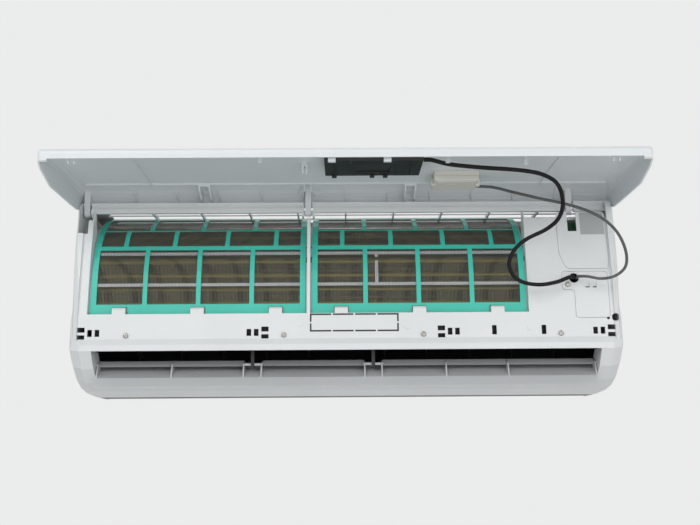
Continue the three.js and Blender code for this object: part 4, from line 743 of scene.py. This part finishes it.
class UNIT_OT_panel_trim(bpy.types.Operator):
    """Hang the white retaining tabs, the black feet and the module's lid under the open panel"""

    bl_idname = "unit.panel_trim"
    bl_label = "Panel trim"

    def execute(self, context):
        skin = tree_of("front_panel")
        tabs = []
        for x in DISPLAY_TABS:
            left, right = x - TAB_HALF, x + TAB_HALF
            top = under_of(skin, x, TAB_FORWARD)
            foot = top - TAB_DROP
            tabs.append(box("tab", (left, -0.3612, foot), (right, -0.3596, top + 0.0004)))
            tabs.append(box("lip", (left, -TAB_FORWARD, foot), (right, -0.3555, foot + TAB_LIP)))
        made = merge("display_tabs", tabs)
        modifier(made, "BEVEL", width=0.0003, segments=2, limit_method="ANGLE")
        smooth(made, 35)
        dress(made, "panel_white")
        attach(made, "panel")
        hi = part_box("display_housing")[1]
        housing = tree_of("display_housing")
        feet = []
        for x in DISPLAY_FEET:
            edge = under_of(housing, x, -hi[1] + 0.004)
            low = (x - FOOT_HALF, hi[1] - 0.007, edge - 0.003)
            high = (x + FOOT_HALF, hi[1] - 0.001, edge + 0.002)
            feet.append(box("foot", low, high))
        made = merge("display_feet", feet)
        modifier(made, "BEVEL", width=0.0006, segments=2, limit_method="ANGLE")
        smooth(made, 35)
        dress(made, "black_plastic")
        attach(made, "panel")
        self.lid()
        return {"FINISHED"}

    def lid(self):
        """The module's lid with its two latches."""
        lo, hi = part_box("module_box")
        under = tree_of("module_box")
        deselect()
        bpy.ops.mesh.primitive_grid_add(x_subdivisions=14, y_subdivisions=10, size=1)
        lid = named("module_lid")
        middle = ((lo[0] + hi[0]) / 2, (lo[1] + hi[1]) / 2)
        for vertex in lid.data.vertices:
            x = middle[0] + vertex.co.x * (hi[0] - lo[0] - LID_SIDE)
            y = middle[1] + vertex.co.y * (hi[1] - lo[1] - LID_END)
            near = min(max(x, lo[0] + 0.002), hi[0] - 0.002)
            vertex.co = Vector((x, y, under_of(under, near, -y) - 0.0005))
        flat = [v.co.z for v in lid.data.vertices]
        for vertex in lid.data.vertices:
            rise = (vertex.co.y - middle[1]) / (hi[1] - lo[1])
            vertex.co.z = min(flat) + (max(flat) - min(flat)) * (0.5 + rise)
        modifier(lid, "SOLIDIFY", thickness=LID_THICK, offset=0)
        modifier(lid, "BEVEL", width=0.0005, segments=2, limit_method="ANGLE")
        latches = []
        for x in (lo[0] - 0.0005, hi[0] + 0.0005):
            low = (x - LATCH_HALF, middle[1] - LATCH_REACH, lo[2] - 0.001)
            high = (x + LATCH_HALF, middle[1] + LATCH_REACH, lo[2] + 0.009)
            latches.append(box("latch", low, high))
        for latch in latches:
            modifier(latch, "BEVEL", width=0.001, segments=2, limit_method="ANGLE")
        lid = merge("module_lid", [lid, *latches])
        smooth(lid, 35)
        dress(lid, "box_beige")
        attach(lid, "panel")


class UNIT_OT_screws(bpy.types.Operator):
    """Turn the five screws, each with a cross in its head"""

    bl_idname = "unit.screws"
    bl_label = "Screws"

    def execute(self, context):
        sides = context.scene.unit_sizes.screw_sides
        for node in ["wiring_cover_screw"] + [f"frame_screw_{i}" for i in range(1, 5)]:
            lo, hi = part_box(node)
            x, z = (lo[0] + hi[0]) / 2, (lo[2] + hi[2]) / 2
            radius = (hi[0] - lo[0]) / 2
            deselect()
            bpy.ops.mesh.primitive_cylinder_add(
                vertices=sides, radius=radius, depth=HEAD_DEPTH,
                location=(x, lo[1] + HEAD_DEPTH / 2, z), rotation=(math.pi / 2, 0, 0))
            head = settle(named(f"{node}_head"))
            bpy.ops.object.mode_set(mode="EDIT")
            bpy.ops.mesh.select_all(action="DESELECT")
            bpy.ops.object.mode_set(mode="OBJECT")
            for face in head.data.polygons:
                face.select = face.normal.y < -0.9
            bpy.ops.object.mode_set(mode="EDIT")
            bpy.ops.mesh.select_mode(type="FACE")
            bpy.ops.mesh.bevel(offset=radius * 0.42, segments=4, affect="EDGES")
            bpy.ops.object.mode_set(mode="OBJECT")
            # The second arm is cut a hair deeper, so that the two floors don't lie in one plane.
            for deeper, dx, dz in ((0, CROSS_HALF, CROSS_ARM), (1e-5, CROSS_ARM, CROSS_HALF)):
                low = (x - dx, lo[1] - 0.001, z - dz)
                high = (x + dx, lo[1] + CROSS_DEPTH + deeper, z + dz)
                cutter = box("cutter", low, high)
                modifier(head, "BOOLEAN", operation="DIFFERENCE", object=cutter, solver="EXACT")
                bpy.data.objects.remove(cutter)
            deselect()
            bpy.ops.mesh.primitive_cylinder_add(
                vertices=16, radius=radius * 0.47, depth=hi[1] - lo[1] - 0.002,
                location=(x, (lo[1] + 0.002 + hi[1]) / 2, z), rotation=(math.pi / 2, 0, 0))
            shank = settle(named("shank"))
            screw = merge(f"{node}_cross", [head, shank])
            smooth(screw, 35)
            dress(screw, "nickel_screw")
            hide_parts(node)
            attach(screw, BASE)
        return {"FINISHED"}


class UNIT_OT_sticker(bpy.types.Operator):
    """Lay the bare sticker on the electrical cover"""

    bl_idname = "unit.sticker"
    bl_label = "Sticker"

    def execute(self, context):
        tree = tree_of("electrical_box_cover")
        deselect()
        bpy.ops.mesh.primitive_grid_add(x_subdivisions=8, y_subdivisions=10, size=1)
        sticker = named("plain_sticker")
        for vertex in sticker.data.vertices:
            x = STICKER_MIDDLE[0] + vertex.co.x * STICKER_SIZE[0]
            z = STICKER_MIDDLE[1] + vertex.co.y * STICKER_SIZE[1]
            vertex.co = Vector((x, front_of(tree, x, z).y - 0.0001, z))
        modifier(sticker, "SOLIDIFY", thickness=STICKER_THICK, offset=0)
        finish = moulded("sticker_grey", (0.44, 0.455, 0.455), 0.55, cloud=0.02)
        sticker.data.materials.clear()
        sticker.data.materials.append(finish)
        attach(sticker, BASE)
        return {"FINISHED"}


class UNIT_OT_knock_out(bpy.types.Operator):
    """Set black strips in the slots of the dashed knock-out: painted shade for the dark inside of the slots
    """

    bl_idname = "unit.knock_out"
    bl_label = "Knock-out"

    def execute(self, context):
        tree = tree_of("front_frame")
        low = front_of(tree, 0.01, -0.050).y
        high = front_of(tree, 0.01, -0.040).y
        left, right, bottom, top = KNOCK_OUT
        dash = (right - left - (KNOCK_DASHES - 1) * KNOCK_BRIDGE) / KNOCK_DASHES
        middle = (bottom + top) / 2
        half = SHADE_STRIP_WIDTH / 2
        spans = []
        for z in (bottom, top):
            for i in range(KNOCK_DASHES):
                start = left + i * (dash + KNOCK_BRIDGE)
                spans.append((start - SHADE_STRIP_OVERLAP, start + dash + SHADE_STRIP_OVERLAP, z - half, z + half))
        for x in (left, right):
            spans.append((x - half, x + half, bottom - half, middle - SHADE_STRIP_GAP))
            spans.append((x - half, x + half, middle + SHADE_STRIP_GAP, top + half))
        shade_strips = []
        for x0, x1, z0, z1 in spans:
            shade_strip = box("shade_strip", (x0, -SHADE_STRIP_PROUD, z0), (x1, SHADE_STRIP_DEPTH, z1))
            for vertex in shade_strip.data.vertices:
                vertex.co.y += low + (high - low) * (vertex.co.z + 0.050) / 0.010
            shade_strips.append(shade_strip)
        # The black strips stand in for the shade inside the slots: painted shade, dressed in the black
        # plastic finish.
        made = merge("knock_out_painted_shade", shade_strips)
        dress(made, "black_plastic")
        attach(made, BASE)
        return {"FINISHED"}


class UNIT_OT_stage(bpy.types.Operator):
    """Set the pale floor and the soft studio light"""

    bl_idname = "unit.stage"
    bl_label = "Stage"

    def execute(self, context):
        deselect()
        bpy.ops.mesh.primitive_plane_add(size=FLOOR_SIZE, location=(0, 0, FLOOR_HEIGHT))
        floor = settle(named("floor"))
        finish = bpy.data.materials.new("floor_pale")
        finish.use_nodes = True
        nodes, links = finish.node_tree.nodes, finish.node_tree.links
        shader = nodes["Principled BSDF"]
        shader.inputs["Base Color"].default_value = (0.86, 0.86, 0.86, 1)
        shader.inputs["Roughness"].default_value = 0.9
        glow = nodes.new("ShaderNodeEmission")
        glow.inputs["Color"].default_value = PALE
        mix = nodes.new("ShaderNodeMixShader")
        seen = seen_rays(nodes, links)
        links.new(seen, mix.inputs[0])
        links.new(shader.outputs[0], mix.inputs[1])
        links.new(glow.outputs[0], mix.inputs[2])
        links.new(mix.outputs[0], nodes["Material Output"].inputs["Surface"])
        floor.data.materials.append(finish)
        self.world(context)
        for name, place, size, power in LAMPS:
            data = bpy.data.lights.new(name, "AREA")
            data.size = size
            data.energy = power
            lamp = bpy.data.objects.new(name, data)
            context.collection.objects.link(lamp)
            lamp.location = place
            aim = Vector(LAMP_AIM) - Vector(place)
            lamp.rotation_euler = aim.to_track_quat("-Z", "Y").to_euler()
        return {"FINISHED"}

    def world(self, context):
        """Pale where it is seen, plain soft light elsewhere."""
        world = bpy.data.worlds.new("studio")
        context.scene.world = world
        world.use_nodes = True
        nodes, links = world.node_tree.nodes, world.node_tree.links
        nodes.clear()
        plain = nodes.new("ShaderNodeBackground")
        plain.inputs["Color"].default_value = (0.95, 0.98, 1.0, 1)
        plain.inputs["Strength"].default_value = WORLD_STRENGTH
        white = nodes.new("ShaderNodeBackground")
        white.inputs["Color"].default_value = PALE
        mix = nodes.new("ShaderNodeMixShader")
        out = nodes.new("ShaderNodeOutputWorld")
        seen = seen_rays(nodes, links)
        links.new(seen, mix.inputs[0])
        links.new(plain.outputs[0], mix.inputs[1])
        links.new(white.outputs[0], mix.inputs[2])
        links.new(mix.outputs[0], out.inputs["Surface"])


def seen_rays(nodes, links):
    """One where the camera, or a reflection or glass, looks straight at the stage."""
    path = nodes.new("ShaderNodeLightPath")
    most = path.outputs["Is Camera Ray"]
    for other in ("Is Glossy Ray", "Is Transmission Ray"):
        either = nodes.new("ShaderNodeMath")
        either.operation = "MAXIMUM"
        links.new(most, either.inputs[0])
        links.new(path.outputs[other], either.inputs[1])
        most = either.outputs[0]
    return most


class UNIT_PT_dresser(bpy.types.Panel):
    """Sizes, colours and pieces of the wall unit"""

    bl_idname = "UNIT_PT_dresser"
    bl_label = "Wall Unit"
    bl_space_type = "VIEW_3D"
    bl_region_type = "UI"
    bl_category = "Wall Unit"

    def draw(self, context):
        for group in (context.scene.unit_sizes, context.scene.unit_colours):
            for key in group.__annotations__:
                self.layout.prop(group, key)
        for step in STEPS:
            self.layout.operator(step.bl_idname)


STEPS = (
    UNIT_OT_camera,
    UNIT_OT_finishes,
    UNIT_OT_cables,
    UNIT_OT_filter_nets,
    UNIT_OT_coil_fins,
    UNIT_OT_panel_trim,
    UNIT_OT_screws,
    UNIT_OT_sticker,
    UNIT_OT_knock_out,
    UNIT_OT_stage,
)
CLASSES = (UnitSizes, UnitColours, *STEPS, UNIT_PT_dresser)


def register():
    """Registers the classes and their settings."""
    for each in CLASSES:
        bpy.utils.register_class(each)
    bpy.types.Scene.unit_sizes = PointerProperty(type=UnitSizes)
    bpy.types.Scene.unit_colours = PointerProperty(type=UnitColours)


def unregister():
    """Removes them again."""
    del bpy.types.Scene.unit_colours
    del bpy.types.Scene.unit_sizes
    for each in reversed(CLASSES):
        bpy.utils.unregister_class(each)


def main():
    """Makes everything in order."""
    register()
    bpy.context.scene.view_settings.view_transform = "Standard"
    for step in STEPS:
        family, action = step.bl_idname.split(".")
        getattr(getattr(bpy.ops, family), action)()


if __name__ == "__main__":
    main()
